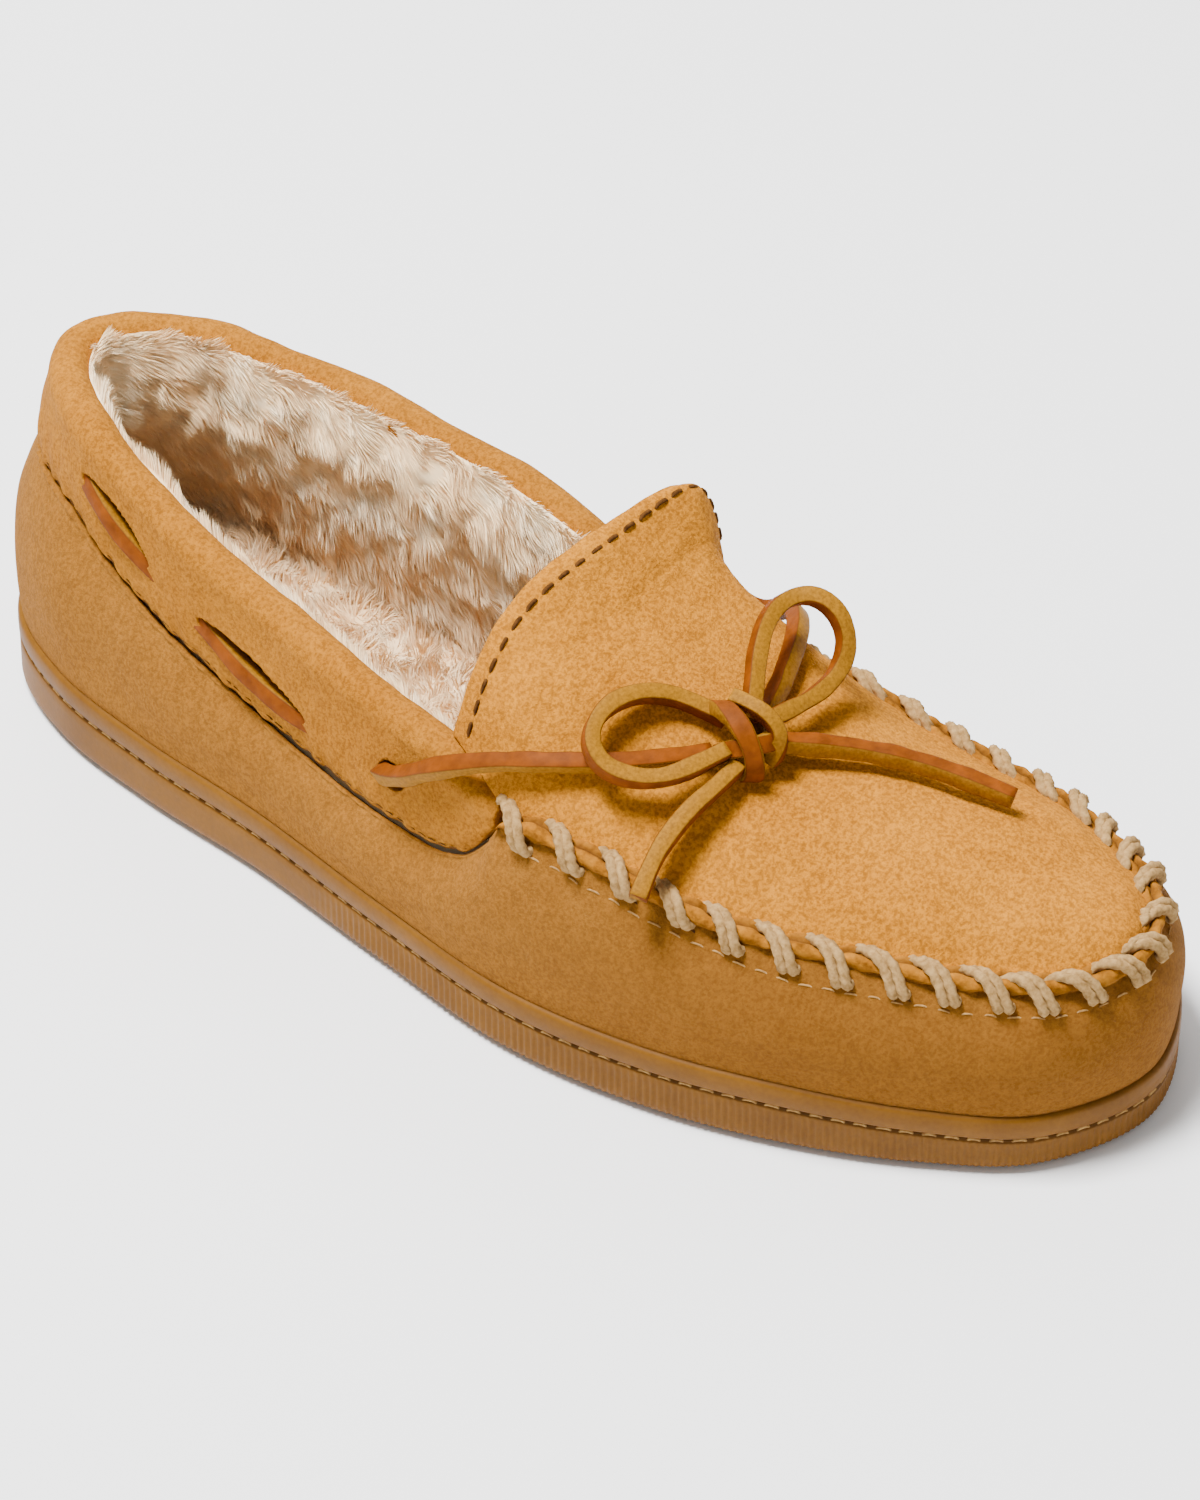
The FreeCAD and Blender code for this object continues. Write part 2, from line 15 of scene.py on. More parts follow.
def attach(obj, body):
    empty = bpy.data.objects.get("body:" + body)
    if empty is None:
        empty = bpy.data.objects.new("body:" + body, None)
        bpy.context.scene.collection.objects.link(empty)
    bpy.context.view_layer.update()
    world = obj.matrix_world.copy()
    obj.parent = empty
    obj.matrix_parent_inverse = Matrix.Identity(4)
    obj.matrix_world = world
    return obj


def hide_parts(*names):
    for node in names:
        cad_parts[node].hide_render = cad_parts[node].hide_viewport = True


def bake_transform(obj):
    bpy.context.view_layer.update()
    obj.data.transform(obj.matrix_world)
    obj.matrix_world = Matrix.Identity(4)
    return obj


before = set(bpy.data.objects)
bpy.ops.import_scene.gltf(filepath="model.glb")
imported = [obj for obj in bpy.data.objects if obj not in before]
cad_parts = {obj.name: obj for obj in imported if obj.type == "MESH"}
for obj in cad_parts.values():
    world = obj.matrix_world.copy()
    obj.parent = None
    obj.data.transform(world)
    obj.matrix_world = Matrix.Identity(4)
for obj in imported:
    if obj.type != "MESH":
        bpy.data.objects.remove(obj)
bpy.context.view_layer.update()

MM = 0.001
UP = np.array([0, 0, 1.0])
LENGTH = 262.0
SUEDE = 1.6
PILE = 2.6
LACE = 3.3
COLLAR_RADIUS = 4.2
COLLAR_LEG = 8.0
COLLAR_FRONT = 0.549

# Plan of the outsole: station (0 heel, 1 toe), lateral and medial half width.
PLAN = [(0.03, 10.5, 24.5), (0.10, 22, 34), (0.20, 28.5, 34), (0.32, 33, 31.5), (0.45, 40.5, 31),
        (0.58, 47, 36.5), (0.70, 45.5, 44.5), (0.80, 39, 47), (0.89, 29, 44.5), (0.96, 16.5, 32.5)]
HEEL_X = 7.5
TOE_X = 7.0

# Heights and insets along the shoe, each as (station, value).
SOLE_TOP = [(0, 17.3), (0.45, 15.5), (0.75, 16.0), (1, 13.3)]
TOE_SEAM = [(0.56, 50.5), (0.58, 52), (0.65, 50), (0.70, 46.5), (0.75, 43.5), (0.80, 41.5), (0.87, 40),
            (0.93, 38.5), (1, 38.5)]
SEAM_HEIGHT = {
    "lateral": [(0, 57), (0.09, 56), (0.14, 51), (0.20, 44.5), (0.25, 41), (0.30, 37.5), (0.36, 35),
                (0.42, 34), (0.48, 34.5), (0.52, 37.5), (0.545, 44)] + TOE_SEAM,
    "medial": [(0, 57), (0.09, 56), (0.14, 53), (0.20, 48), (0.25, 45), (0.30, 42), (0.36, 40),
               (0.42, 39), (0.48, 40), (0.52, 42), (0.545, 46)] + TOE_SEAM,
}
SEAM_INSET = {
    "lateral": [(0, 7), (0.12, 6), (0.25, 4.5), (0.40, 4), (0.50, 4.5), (0.56, 6.5), (0.65, 8),
                (0.75, 9.5), (0.85, 10.5), (0.93, 10), (1, 6)],
    "medial": [(0, 7), (0.12, 5), (0.25, 2.5), (0.40, 1.5), (0.50, 3), (0.56, 6.5), (0.65, 10),
               (0.75, 12), (0.85, 12.5), (0.93, 11), (1, 6)],
}
COLLAR_TOP = {
    "lateral": [(0, 78), (0.10, 77), (0.17, 73), (0.24, 67.5), (0.30, 64), (0.36, 61), (0.42, 59.5),
                (0.48, 57.5), (0.54, 54)],
    "medial": [(0, 78), (0.10, 77), (0.25, 75), (0.38, 73), (0.46, 68), (0.54, 56)],
}
COLLAR_INSET = {
    "lateral": [(0, 9), (0.15, 6), (0.30, 4.5), (0.54, 5.5)],
    "medial": [(0, 9), (0.15, 5), (0.25, 1), (0.40, 0), (0.54, 4)],
}

# How far the pile shows above the collar's inner side.
LINING_RISE = {"lateral": [(0, 2.0), (0.15, 0.4)], "medial": [(0, 2.0), (0.15, 2.4)]}

# Plug and tongue are one panel: -1 is the tongue's rear edge, 0 the fold, 1 the toe.
CREST_HEIGHT = [(-1, 85), (-0.5, 80.3), (0, 73.5), (0.12, 65), (0.26, 57.3), (0.40, 54), (0.58, 50.5),
                (0.78, 46), (0.92, 42.5), (1, 39.5)]
CREST_POWER = [(-1, 4.0), (0, 3.0), (0.25, 2.2), (1, 2.0)]
MEDIAL_SHOULDER = [(-1, 1.2), (-0.8, 2.2), (-0.5, 3.2), (0, 3.8), (0.1, 3.2), (0.22, 1.8), (0.36, 1.0)]
TONGUE_LATERAL = np.array([-32.0, 1.0, 57.0])
TONGUE_MEDIAL = np.array([38.0, -12.0, 64.0])
TONGUE_LENGTH = 35.0
PLUG_LENGTH = 110.0
FOLD_STATION = {"lateral": 0.565, "medial": 0.575}
TOE_GAP = 0.004

# Stitches, and the lace along the collar: stations, and the lace's place up the collar's face.
WHIP_STITCHES = 26
COLLAR_SLOTS = [(0.118, 0.197), (0.25, 0.36)]
COLLAR_EXIT = (0.437, 0.463)
LACE_HEIGHT = [(0, 0.26), (0.12, 0.28), (0.20, 0.22), (0.25, 0.20), (0.36, 0.16), (0.45, 0.22)]

# Lace routes, each point listed.
KNOT = np.array([-9.0, -49.0, 63.5])
FRONT_LATERAL = [(-39.3, 9.2, 48), (-40.2, -1.8, 57), (-37.5, -12, 61.5), (-34, -24, 64.5),
                 (-24.5, -37, 64), (-13.6, -44.4, 62.2)]
FRONT_MEDIAL = [(31, 12.5, 54), (33.5, 11, 55), (38, 1, 55), (39.5, -11, 53.5), (37, -22, 51.5),
                (34.5, -30, 58.5), (29, -35.5, 63.3), (22.5, -40, 65.4), (14, -43.5, 65), (6, -46, 63.8),
                (-4.2, -47.6, 63)]
LOOP_LATERAL = [(-7.5, -43.8, 66), (-9.6, -37, 68.8), (-14, -32, 71.5), (-20, -29, 73),
                (-25.5, -27.7, 72.4), (-30.6, -28.7, 70), (-32.4, -32.6, 66.8), (-30.5, -37.8, 65),
                (-26.7, -42.3, 64.3), (-20.6, -45.6, 64.6), (-13.9, -47.9, 65)]
LOOP_MEDIAL = [(-6, -48, 67.4), (-1, -45.5, 70.7), (3.4, -43, 73.6), (10.4, -40.3, 76), (17, -40, 76.6),
               (21, -43.8, 77), (22, -48.7, 74.6), (20.5, -52.2, 69.8), (16.5, -53, 65.4),
               (9.5, -52.6, 64.4), (2.5, -51.4, 65.3), (-3.4, -50, 65.9)]
TAIL_LATERAL = [(-13.4, -50.2, 61.9), (-19.5, -49.9, 61.3), (-26, -48.6, 60), (-32.5, -48, 57.8),
                (-38.5, -48.2, 55.3), (-44.2, -49.2, 51.5)]
TAIL_MEDIAL = [(-4.7, -51.9, 62.6), (3, -60, 60.4), (9.5, -70.2, 58.2), (14.2, -80.8, 55.6),
               (17, -91.5, 53)]

# Camera: what it looks at, from which direction and how far off.
VIEW_TARGET = Vector((0.0022, 0.0, 0.035))
VIEW_AZIMUTH = -55.2
VIEW_ELEVATION = 40.0
VIEW_DISTANCE = 1.2903
LENS = 162.3
SHIFT = (0.0258, -0.0109)

# Studio lights: name, place, power and size.
LIGHTS = [("key", (-0.25, 0.30, 1.5), 76.0, 0.45), ("fill", (-1.2, -0.8, 0.8), 1.5, 1.2),
          ("back", (0.9, 0.8, 1.1), 10.0, 1.0)]


# ---- curves that every piece shares ----

def plan_points():
    lateral = [(-a, LENGTH * (0.5 - t)) for t, a, b in PLAN]
    medial = [(b, LENGTH * (0.5 - t)) for t, a, b in reversed(PLAN)]
    return np.array([(HEEL_X, LENGTH / 2)] + lateral + [(TOE_X, -LENGTH / 2)] + medial)


CORNERS = plan_points()
COUNT = len(CORNERS)
STEPS = np.sqrt(np.linalg.norm(np.roll(CORNERS, -1, axis=0) - CORNERS, axis=1))
KNOTS = np.concatenate([[0.0], np.cumsum(STEPS)])
U_TOE = KNOTS[len(PLAN) + 1] / KNOTS[-1]


def hermite(first, second, first_slope, second_slope, w):
    """Cubic curve between two values, w from 0 to 1; slopes are per unit of w."""
    return (first * (2 * w**3 - 3 * w**2 + 1) + first_slope * (w**3 - 2 * w**2 + w)
            + second * (3 * w**2 - 2 * w**3) + second_slope * (w**3 - w**2))


def outline(u):
    """Points of the plan at u, 0 to 1 round the shoe: a centripetal Catmull-Rom curve."""
    s = (np.asarray(u, float) % 1.0) * KNOTS[-1]
    i = np.clip(np.searchsorted(KNOTS, s, side="right") - 1, 0, COUNT - 1)
    p = [CORNERS[(i + j - 1) % COUNT] for j in range(4)]
    k = [(KNOTS[(i + j - 1) % COUNT] + (i + j - 1) // COUNT * KNOTS[-1])[..., None] for j in range(4)]
    gap = k[2] - k[1]
    x = (s[..., None] - k[1]) / gap

    def tangent(j):
        before = (p[j] - p[j - 1]) / (k[j] - k[j - 1])
        after = (p[j + 1] - p[j]) / (k[j + 1] - k[j])
        return (before * (k[j + 1] - k[j]) + after * (k[j] - k[j - 1])) * gap / (k[j + 1] - k[j - 1])

    return hermite(p[1], p[2], tangent(1), tangent(2), x)


def outward(u):
    """Outward normals of the plan at u."""
    u = np.asarray(u, float)
    step = outline(u + 0.001) - outline(u - 0.001)
    normal = np.stack([-step[..., 1], step[..., 0]], -1)
    return -normal / np.linalg.norm(normal, axis=-1, keepdims=True)


def level_outward(u):
    """The same normals as level vectors in space."""
    flat = outward(u)
    return np.concatenate([flat, np.zeros(flat.shape[:-1] + (1,))], -1)


def profile(rows, x):
    """Smooth values at x of a table of (x, value) rows, without overshoot."""
    xs, ys = np.array(rows, float).T
    x = np.clip(np.asarray(x, float), xs[0], xs[-1])
    chord = np.diff(ys) / np.diff(xs)
    slope = np.zeros(len(xs))
    for j in range(1, len(xs) - 1):
        before, after = chord[j - 1], chord[j]
        slope[j] = 2 * before * after / (before + after) if before * after > 0 else 0.0
    i = np.clip(np.searchsorted(xs, x, side="right") - 1, 0, len(xs) - 2)
    gap = xs[i + 1] - xs[i]
    w = (x - xs[i]) / gap
    return hermite(ys[i], ys[i + 1], slope[i] * gap, slope[i + 1] * gap, w)


def station(u):
    return 0.5 - outline(u)[..., 1] / LENGTH


def sided(tables, u, t):
    """Value of a lateral/medial pair of tables."""
    lateral = (np.asarray(u) % 1.0) < U_TOE
    return np.where(lateral, profile(tables["lateral"], t), profile(tables["medial"], t))


def u_at(t, side):
    """Where on one side the plan reaches station t."""
    u = np.linspace(0, U_TOE, 3000) if side == "lateral" else np.linspace(1, U_TOE, 3000)
    return np.interp(t, station(u), u)


def ring(u, inset, height):
    u, inset, height = np.broadcast_arrays(u, inset, height)
    flat = outline(u) - outward(u) * inset[..., None]
    return np.concatenate([flat, height[..., None]], -1)


def seam(u, depth=0.0):
    t = station(u)
    return ring(u, sided(SEAM_INSET, u, t) + depth, sided(SEAM_HEIGHT, u, t))


def smooth(low, high, x):
    w = np.clip((np.asarray(x, float) - low) / (high - low), 0, 1)
    return w * w * (3 - 2 * w)


def in_section(u, curve, v, depth):
    """Points v of section curves of (inset, height), moved inwards by depth."""
    a = curve(v - 0.004)
    b = curve(v + 0.004)
    run = np.hypot(b[0] - a[0], b[1] - a[1])
    inset, height = curve(v)
    return ring(u, inset + (b[1] - a[1]) / run * depth, height - (b[0] - a[0]) / run * depth)


def wall(u, v, depth=0.0):
    """Side of the shoe, from the outsole (v = 0) to the seam (v = 1)."""
    t = station(u)
    foot = (1.6, profile(SOLE_TOP, t) + 0.15)
    top = (sided(SEAM_INSET, u, t), sided(SEAM_HEIGHT, u, t))
    belly = (-2.6, foot[1] + 0.62 * (top[1] - foot[1]))

    def curve(w):
        return tuple(foot[i] * (1 - w)**2 + 2 * belly[i] * w * (1 - w) + top[i] * w * w for i in (0, 1))

    return in_section(u, curve, v, depth)


def collar(u, v, depth=0.0):
    """Padded collar: up the outside to v = 0.4, over the roll to v = 0.75, down inside to v = 1."""
    t = station(u)
    radius = COLLAR_RADIUS
    face = sided(COLLAR_INSET, u, t)
    crown = sided(COLLAR_TOP, u, t) - radius
    start = (sided(SEAM_INSET, u, t), sided(SEAM_HEIGHT, u, t) + 0.3)

    def curve(w):
        x = w / 0.4
        bow = 4.8 * x * (1 - x)
        angle = np.pi * (w - 0.4) / 0.35
        leg = (start[0] + (face - start[0]) * x - bow * (1 - x), start[1] + (crown - start[1]) * x)
        roll = (face + radius - radius * np.cos(angle), crown + radius * np.sin(angle))
        inner = (face + 2 * radius + 0 * w, crown - COLLAR_LEG * (w - 0.75) / 0.25)
        return tuple(np.where(w < 0.4, leg[i], np.where(w < 0.75, roll[i], inner[i])) for i in (0, 1))

    return in_section(u, curve, v, depth)


def panel_point(f, s):
    """Plug and tongue: f along the shoe, s from the lateral (-1) to the medial edge (1)."""
    f, s = np.broadcast_arrays(np.asarray(f, float), np.asarray(s, float))
    ahead = np.clip(f, 0, 1)
    behind = np.clip(-f, 0, None)[..., None]
    fold_l = u_at(FOLD_STATION["lateral"], "lateral")
    fold_m = u_at(FOLD_STATION["medial"], "medial")
    a = seam(fold_l * (1 - ahead) + (U_TOE - TOE_GAP) * ahead, 0.3)
    b = seam(fold_m * (1 - ahead) + (U_TOE + TOE_GAP) * ahead, 0.3)
    a = a + (TONGUE_LATERAL - a) * behind
    b = b + (TONGUE_MEDIAL - b) * behind
    rise = profile(CREST_HEIGHT, f) - (a[..., 2] + b[..., 2]) / 2
    point = a + (b - a) * ((s[..., None] + 1) / 2)
    power = profile(CREST_POWER, f) * np.where(s > 0, profile(MEDIAL_SHOULDER, f), 1)
    point[..., 2] += rise * (1 - np.abs(s)**power)
    return point


def eased_panel_point(f, s):
    """The panel with its fold rounded: a point near it is the mean of points a little before and after."""
    travel = np.where(np.asarray(f, float) < 0, TONGUE_LENGTH, PLUG_LENGTH) * f
    reach = 7.0 * (1 - smooth(8.0, 26.0, np.abs(travel)))
    total = 0
    for offset in (-1.0, -0.5, 0.0, 0.5, 1.0):
        moved = travel + offset * reach
        total = total + panel_point(np.where(moved < 0, moved / TONGUE_LENGTH, moved / PLUG_LENGTH), s)
    return total / 5


def panel(f, s, depth=0.0):
    along = eased_panel_point(f - 0.01, s) - eased_panel_point(f + 0.01, s)
    across = (eased_panel_point(f, np.minimum(0.999, s + 0.02))
              - eased_panel_point(f, np.maximum(-0.999, s - 0.02)))
    normal = np.cross(across, along)
    normal /= np.linalg.norm(normal, axis=-1, keepdims=True)
    return eased_panel_point(f, s) - normal * np.asarray(depth)[..., None]


def waves(p, size, seed):
    """Smooth random height, about -1 to 1, over points p in millimetres."""
    chance = np.random.default_rng(seed)
    total = np.zeros(p.shape[:-1])
    for _ in range(6):
        axis = chance.normal(size=3)
        axis *= chance.uniform(0.7, 1.4) / size / np.linalg.norm(axis)
        total += np.sin(2 * np.pi * (p @ axis) + chance.uniform(0, 2 * np.pi))
    return total / 3


# ---- mesh makers ----

def new_object(name, points, faces):
    mesh = bpy.data.meshes.new(name)
    mesh.from_pydata((np.asarray(points).reshape(-1, 3) * MM).tolist(), [], faces)
    mesh.update()
    mesh.polygons.foreach_set("use_smooth", [True] * len(mesh.polygons))
    piece = bpy.data.objects.new(name, mesh)
    bpy.context.scene.collection.objects.link(piece)
    return piece


def grid_faces(rows, columns, close_rows=False, close_columns=False):
    index = np.arange(rows * columns).reshape(rows, columns)
    if close_rows:
        index = np.vstack([index, index[:1]])
    if close_columns:
        index = np.hstack([index, index[:, :1]])
    quads = np.stack([index[:-1, :-1], index[1:, :-1], index[1:, 1:], index[:-1, 1:]], -1)
    return quads.reshape(-1, 4).tolist()


def tube_faces(rows, sides):
    """Faces of a tube with closed ends."""
    ends = [list(range(sides - 1, -1, -1)), list(range((rows - 1) * sides, rows * sides))]
    return grid_faces(rows, sides, close_columns=True) + ends


def outward_normals(piece):
    """Turns every face of a closed mesh to face out."""
    shape = bmesh.new()
    shape.from_mesh(piece.data)
    bmesh.ops.recalc_face_normals(shape, faces=shape.faces)
    shape.to_mesh(piece.data)
    shape.free()
    return piece


def tube(name, grid):
    """Closed mesh over the rings of points in a grid, one ring a row."""
    return outward_normals(new_object(name, grid, tube_faces(*grid.shape[:2])))


def layer(name, surface, us, vs, depth, thick, close_rows=False):
    """Sheet of even thickness: out along vs on its outer face and back on its inner one."""
    u = np.asarray(us)[:, None]
    v = np.asarray(vs)[None, :]
    outer = surface(u, v, depth)
    inner = surface(u, v, depth + thick)[:, ::-1]
    grid = np.concatenate([outer, inner], axis=1)
    if close_rows:
        return outward_normals(new_object(name, grid, grid_faces(*grid.shape[:2], True, True)))
    return tube(name, grid)


def mark(piece, name, values):
    """Stores one number per point for the piece's material; a short list of values is repeated."""
    attribute = piece.data.attributes.new(name, "FLOAT", "POINT")
    attribute.data.foreach_set("value", np.resize(np.asarray(values, np.float32), len(attribute.data)))
    return piece


def nurbs_path(points, resolution=16):
    """Points in millimetres along the smooth NURBS line of a route."""
    data = bpy.data.curves.new("route", "CURVE")
    data.dimensions = "3D"
    data.resolution_u = resolution
    spline = data.splines.new("NURBS")
    spline.points.add(len(points) - 1)
    for place, point in zip(spline.points, points):
        place.co = (point[0] * MM, point[1] * MM, point[2] * MM, 1)
    spline.order_u = 3
    spline.use_endpoint_u = True
    carrier = bpy.data.objects.new("route", data)
    bpy.context.scene.collection.objects.link(carrier)
    bpy.context.view_layer.update()
    mesh = bpy.data.meshes.new_from_object(carrier)
    path = np.array([v.co[:] for v in mesh.vertices]) / MM
    bpy.data.objects.remove(carrier)
    bpy.data.curves.remove(data)
    bpy.data.meshes.remove(mesh)
    return path


def frames(path, facing):
    """Tangent, facing normal and side at each point of a path; facing is a vector or one per point."""
    tangent = np.gradient(path, axis=0)
    tangent /= np.linalg.norm(tangent, axis=1, keepdims=True)
    facing = np.broadcast_to(np.asarray(facing, float), path.shape)
    normal = facing - (facing * tangent).sum(1, keepdims=True) * tangent
    normal /= np.linalg.norm(normal, axis=1, keepdims=True)
    return tangent, normal, np.cross(tangent, normal)


def strap_points(path, facing, width, thick, seed=1):
    """Rounded square section swept along a path, a little uneven as cut rawhide is."""
    tangent, normal, side = frames(path, facing)
    bevel = 0.22
    corner = []
    for sx, sy in ((1, 1), (-1, 1), (-1, -1), (1, -1)):
        turn = ((1, 1 - bevel), (1 - 0.3 * bevel, 1 - 0.3 * bevel), (1 - bevel, 1))
        turn = turn if sx * sy > 0 else turn[::-1]
        corner += [(sx * x, sy * y) for x, y in turn]
    corner = np.array(corner)
    chance = np.random.default_rng(seed)
    uneven = 1 + 0.06 * waves(path, 9.0, seed)[:, None] + chance.uniform(-0.012, 0.012, (len(path), 12))
    x = corner[None, :, 0] * width / 2 * uneven
    y = corner[None, :, 1] * thick / 2 * uneven
    return path[:, None] + side[:, None] * x[..., None] + normal[:, None] * y[..., None]


def strap(name, path, facing, width=LACE, thick=LACE, seed=1):
    """Rawhide lace: its cut faces look along facing, its grain faces to the sides."""
    piece = tube(name, strap_points(path, facing, width, thick, seed))
    mark(piece, "cut_face", [0, 0.5, 1, 1, 0.5, 0])
    return mark(piece, "edge", [0, 1, 0])


def join(name, parts):
    """One mesh from lists of (points, faces), points in millimetres."""
    points = []
    faces = []
    first = 0
    for part_points, part_faces in parts:
        part_points = np.asarray(part_points).reshape(-1, 3)
        points.append(part_points)
        faces += [[i + first for i in face] for face in part_faces]
        first += len(part_points)
    return new_object(name, np.concatenate(points), faces)


def rod(path, radius, sides=8, ends=0.55):
    """Round thread along a path with blunt ends, as (points, faces)."""
    path = np.asarray(path, float)
    tangent, normal, side = frames(path, (0.31, 0.22, 0.93))
    angles = np.linspace(0, 2 * np.pi, sides, endpoint=False)
    radii = np.full(len(path), radius)
    radii[0] *= ends
    radii[-1] *= ends
    around = np.cos(angles)[None, :, None] * normal[:, None] + np.sin(angles)[None, :, None] * side[:, None]
    points = path[:, None] + around * radii[:, None, None]
    return points.reshape(-1, 3), tube_faces(len(path), sides)


def arc_lengths(path):
    return np.concatenate([[0], np.cumsum(np.linalg.norm(np.diff(path, axis=0), axis=1))])


def running_stitches(name, line, pitch, length, radius, seed=3):
    """Row of short threads along a line, each dipping into the leather at both ends."""
    travelled = arc_lengths(line)
    chance = np.random.default_rng(seed)
    parts = []
    for start in np.arange(pitch * 0.3, travelled[-1] - length, pitch):
        ends = start + chance.uniform(-0.15, 0.15), start + length * chance.uniform(0.9, 1.08)
        places = np.linspace(ends[0], ends[1], 7)
        path = np.stack([np.interp(places, travelled, line[:, i]) for i in range(3)], -1)
        path[:, 2] -= radius * 1.3 * np.abs(np.linspace(-1, 1, 7))**4
        parts.append(rod(path, radius))
    return join(name, parts)


# ---- materials ----

class Shader:
    """Small helper round one material's node tree."""

    def __init__(self, name, roughness, specular=0.5, sheen=0.0, sheen_tint=(1, 1, 1)):
        self.material = bpy.data.materials.new(name)
        self.material.use_nodes = True
        self.tree = self.material.node_tree
        self.shader = self.tree.nodes["Principled BSDF"]
        self.feed(self.shader, {"Roughness": roughness, "Specular IOR Level": specular,
                                "Sheen Weight": sheen, "Sheen Roughness": 0.6, "Sheen Tint": sheen_tint})
        self.places = self.tree.nodes.new("ShaderNodeTexCoord").outputs["Object"]

    def feed(self, node, values):
        """Gives a node's sockets numbers, colours or the outputs of other nodes."""
        for socket, value in values.items():
            if isinstance(value, (int, float)):
                node.inputs[socket].default_value = value
            elif isinstance(value, tuple):
                node.inputs[socket].default_value = (*value, 1)
            else:
                self.tree.links.new(value, node.inputs[socket])

    def noise(self, scale, detail=3.0, roughness=0.6):
        node = self.tree.nodes.new("ShaderNodeTexNoise")
        self.feed(node, {"Scale": scale, "Detail": detail, "Roughness": roughness, "Vector": self.places})
        return node.outputs["Fac"]

    def attribute(self, name):
        node = self.tree.nodes.new("ShaderNodeAttribute")
        node.attribute_name = name
        return node.outputs["Fac"]

    def ramp(self, value, stops):
        node = self.tree.nodes.new("ShaderNodeValToRGB")
        elements = node.color_ramp.elements
        while len(elements) < len(stops):
            elements.new(0.5)
        for element, (place, color) in zip(elements, stops):
            element.position = place
            element.color = (*color, 1)
        self.feed(node, {"Fac": value})
        return node.outputs["Color"]

    def mix(self, factor, first, second, blend="MIX"):
        node = self.tree.nodes.new("ShaderNodeMix")
        node.data_type = "RGBA"
        node.blend_type = blend
        self.feed(node, {0: factor, 6: first, 7: second})
        return node.outputs[2]

    def math(self, operation, first, second):
        node = self.tree.nodes.new("ShaderNodeMath")
        node.operation = operation
        self.feed(node, {0: first, 1: second})
        return node.outputs[0]

    def color(self, value):
        self.feed(self.shader, {"Base Color": value})

    def bump(self, height, strength, distance):
        node = self.tree.nodes.new("ShaderNodeBump")
        self.feed(node, {"Strength": strength, "Distance": distance, "Height": height})
        old = self.shader.inputs["Normal"].links
        if old:
            self.feed(node, {"Normal": old[0].from_socket})
        self.feed(self.shader, {"Normal": node.outputs["Normal"]})


def suede(name, light, dark, speckle):
    """Napped suede: fine speckle, brushed patches, darker where the 'shade' attribute says."""
    s = Shader(name, 0.92, specular=0.06, sheen=0.04, sheen_tint=(1.0, 0.62, 0.25))
    patches = s.ramp(s.noise(42, 4), [(0.30, dark), (0.68, light)])
    deepest = tuple(c * speckle for c in dark)
    speckles = s.ramp(s.noise(1300, 3, roughness=0.7), [(0.40, deepest), (0.58, light)])
    base = s.mix(0.60, patches, speckles)
    mottle = s.ramp(s.noise(420, 3), [(0.38, (0.82, 0.78, 0.72)), (0.60, (1.05, 1.05, 1.03))])
    base = s.mix(0.55, base, mottle, "MULTIPLY")
    s.color(s.mix(s.attribute("shade"), base, (0.10, 0.034, 0.004)))
    s.bump(s.noise(1300, 3, roughness=0.8), 0.55, 0.0006)
    s.bump(s.noise(300, 3), 0.25, 0.0008)
    return s.material


def raw_edge():
    """Cut edge of suede, rougher and with painted shade in its grooves."""
    s = Shader("raw_suede_edge", 0.9, specular=0.05)
    base = s.ramp(s.noise(420, 4), [(0.30, (0.15, 0.050, 0.003)), (0.5, (0.33, 0.122, 0.008)),
                                    (0.72, (0.47, 0.19, 0.016))])
    s.color(s.mix(s.attribute("shade"), base, (0.07, 0.025, 0.006)))
    s.bump(s.noise(700, 4), 0.5, 0.0007)
    return s.material


def rawhide():
    """Waxed lace: sienna grain sides, olive cut faces with darker edges."""
    s = Shader("rawhide", 0.60, specular=0.08)
    grain = s.ramp(s.noise(300, 4), [(0.3, (0.105, 0.024, 0.0005)), (0.7, (0.20, 0.046, 0.001))])
    cut = s.ramp(s.noise(1500, 4), [(0.3, (0.165, 0.066, 0.002)), (0.72, (0.31, 0.133, 0.005))])
    face = s.ramp(s.attribute("cut_face"), [(0.42, (0, 0, 0)), (0.58, (1, 1, 1))])
    base = s.mix(face, grain, cut)
    edge = s.math("MULTIPLY", s.attribute("edge"), 0.55)
    s.color(s.mix(edge, base, (0.055, 0.016, 0.001)))
    s.bump(s.noise(600, 4), 0.3, 0.0005)
    return s.material


def rubber():
    """Cloudy brown rubber, with painted shade where the 'shade' attribute says."""
    s = Shader("sole_rubber", 0.52, specular=0.12)
    cloudy = s.ramp(s.noise(45, 3), [(0.3, (0.130, 0.050, 0.003)), (0.7, (0.180, 0.072, 0.005))])
    fine = s.ramp(s.noise(900, 2), [(0.35, (0.90, 0.90, 0.88)), (0.65, (1.04, 1.04, 1.03))])
    base = s.mix(1.0, cloudy, fine, "MULTIPLY")
    s.color(s.mix(s.attribute("shade"), base, (0.06, 0.025, 0.006)))
    s.bump(s.noise(1100, 2), 0.12, 0.0003)
    return s.material


def pile():
    """Cream pile, with painted shade (tanner) where the 'shade' attribute says."""
    s = Shader("cream_pile", 0.95, specular=0.03, sheen=0.2, sheen_tint=(1.0, 0.92, 0.80))
    tufts = s.ramp(s.noise(95, 4), [(0.28, (0.93, 0.65, 0.34)), (0.5, (0.96, 0.72, 0.42)),
                                    (0.66, (0.98, 0.81, 0.55))])
    s.color(s.mix(s.attribute("shade"), tufts, (0.62, 0.36, 0.16)))
    s.bump(s.noise(500, 4), 0.2, 0.001)
    return s.material


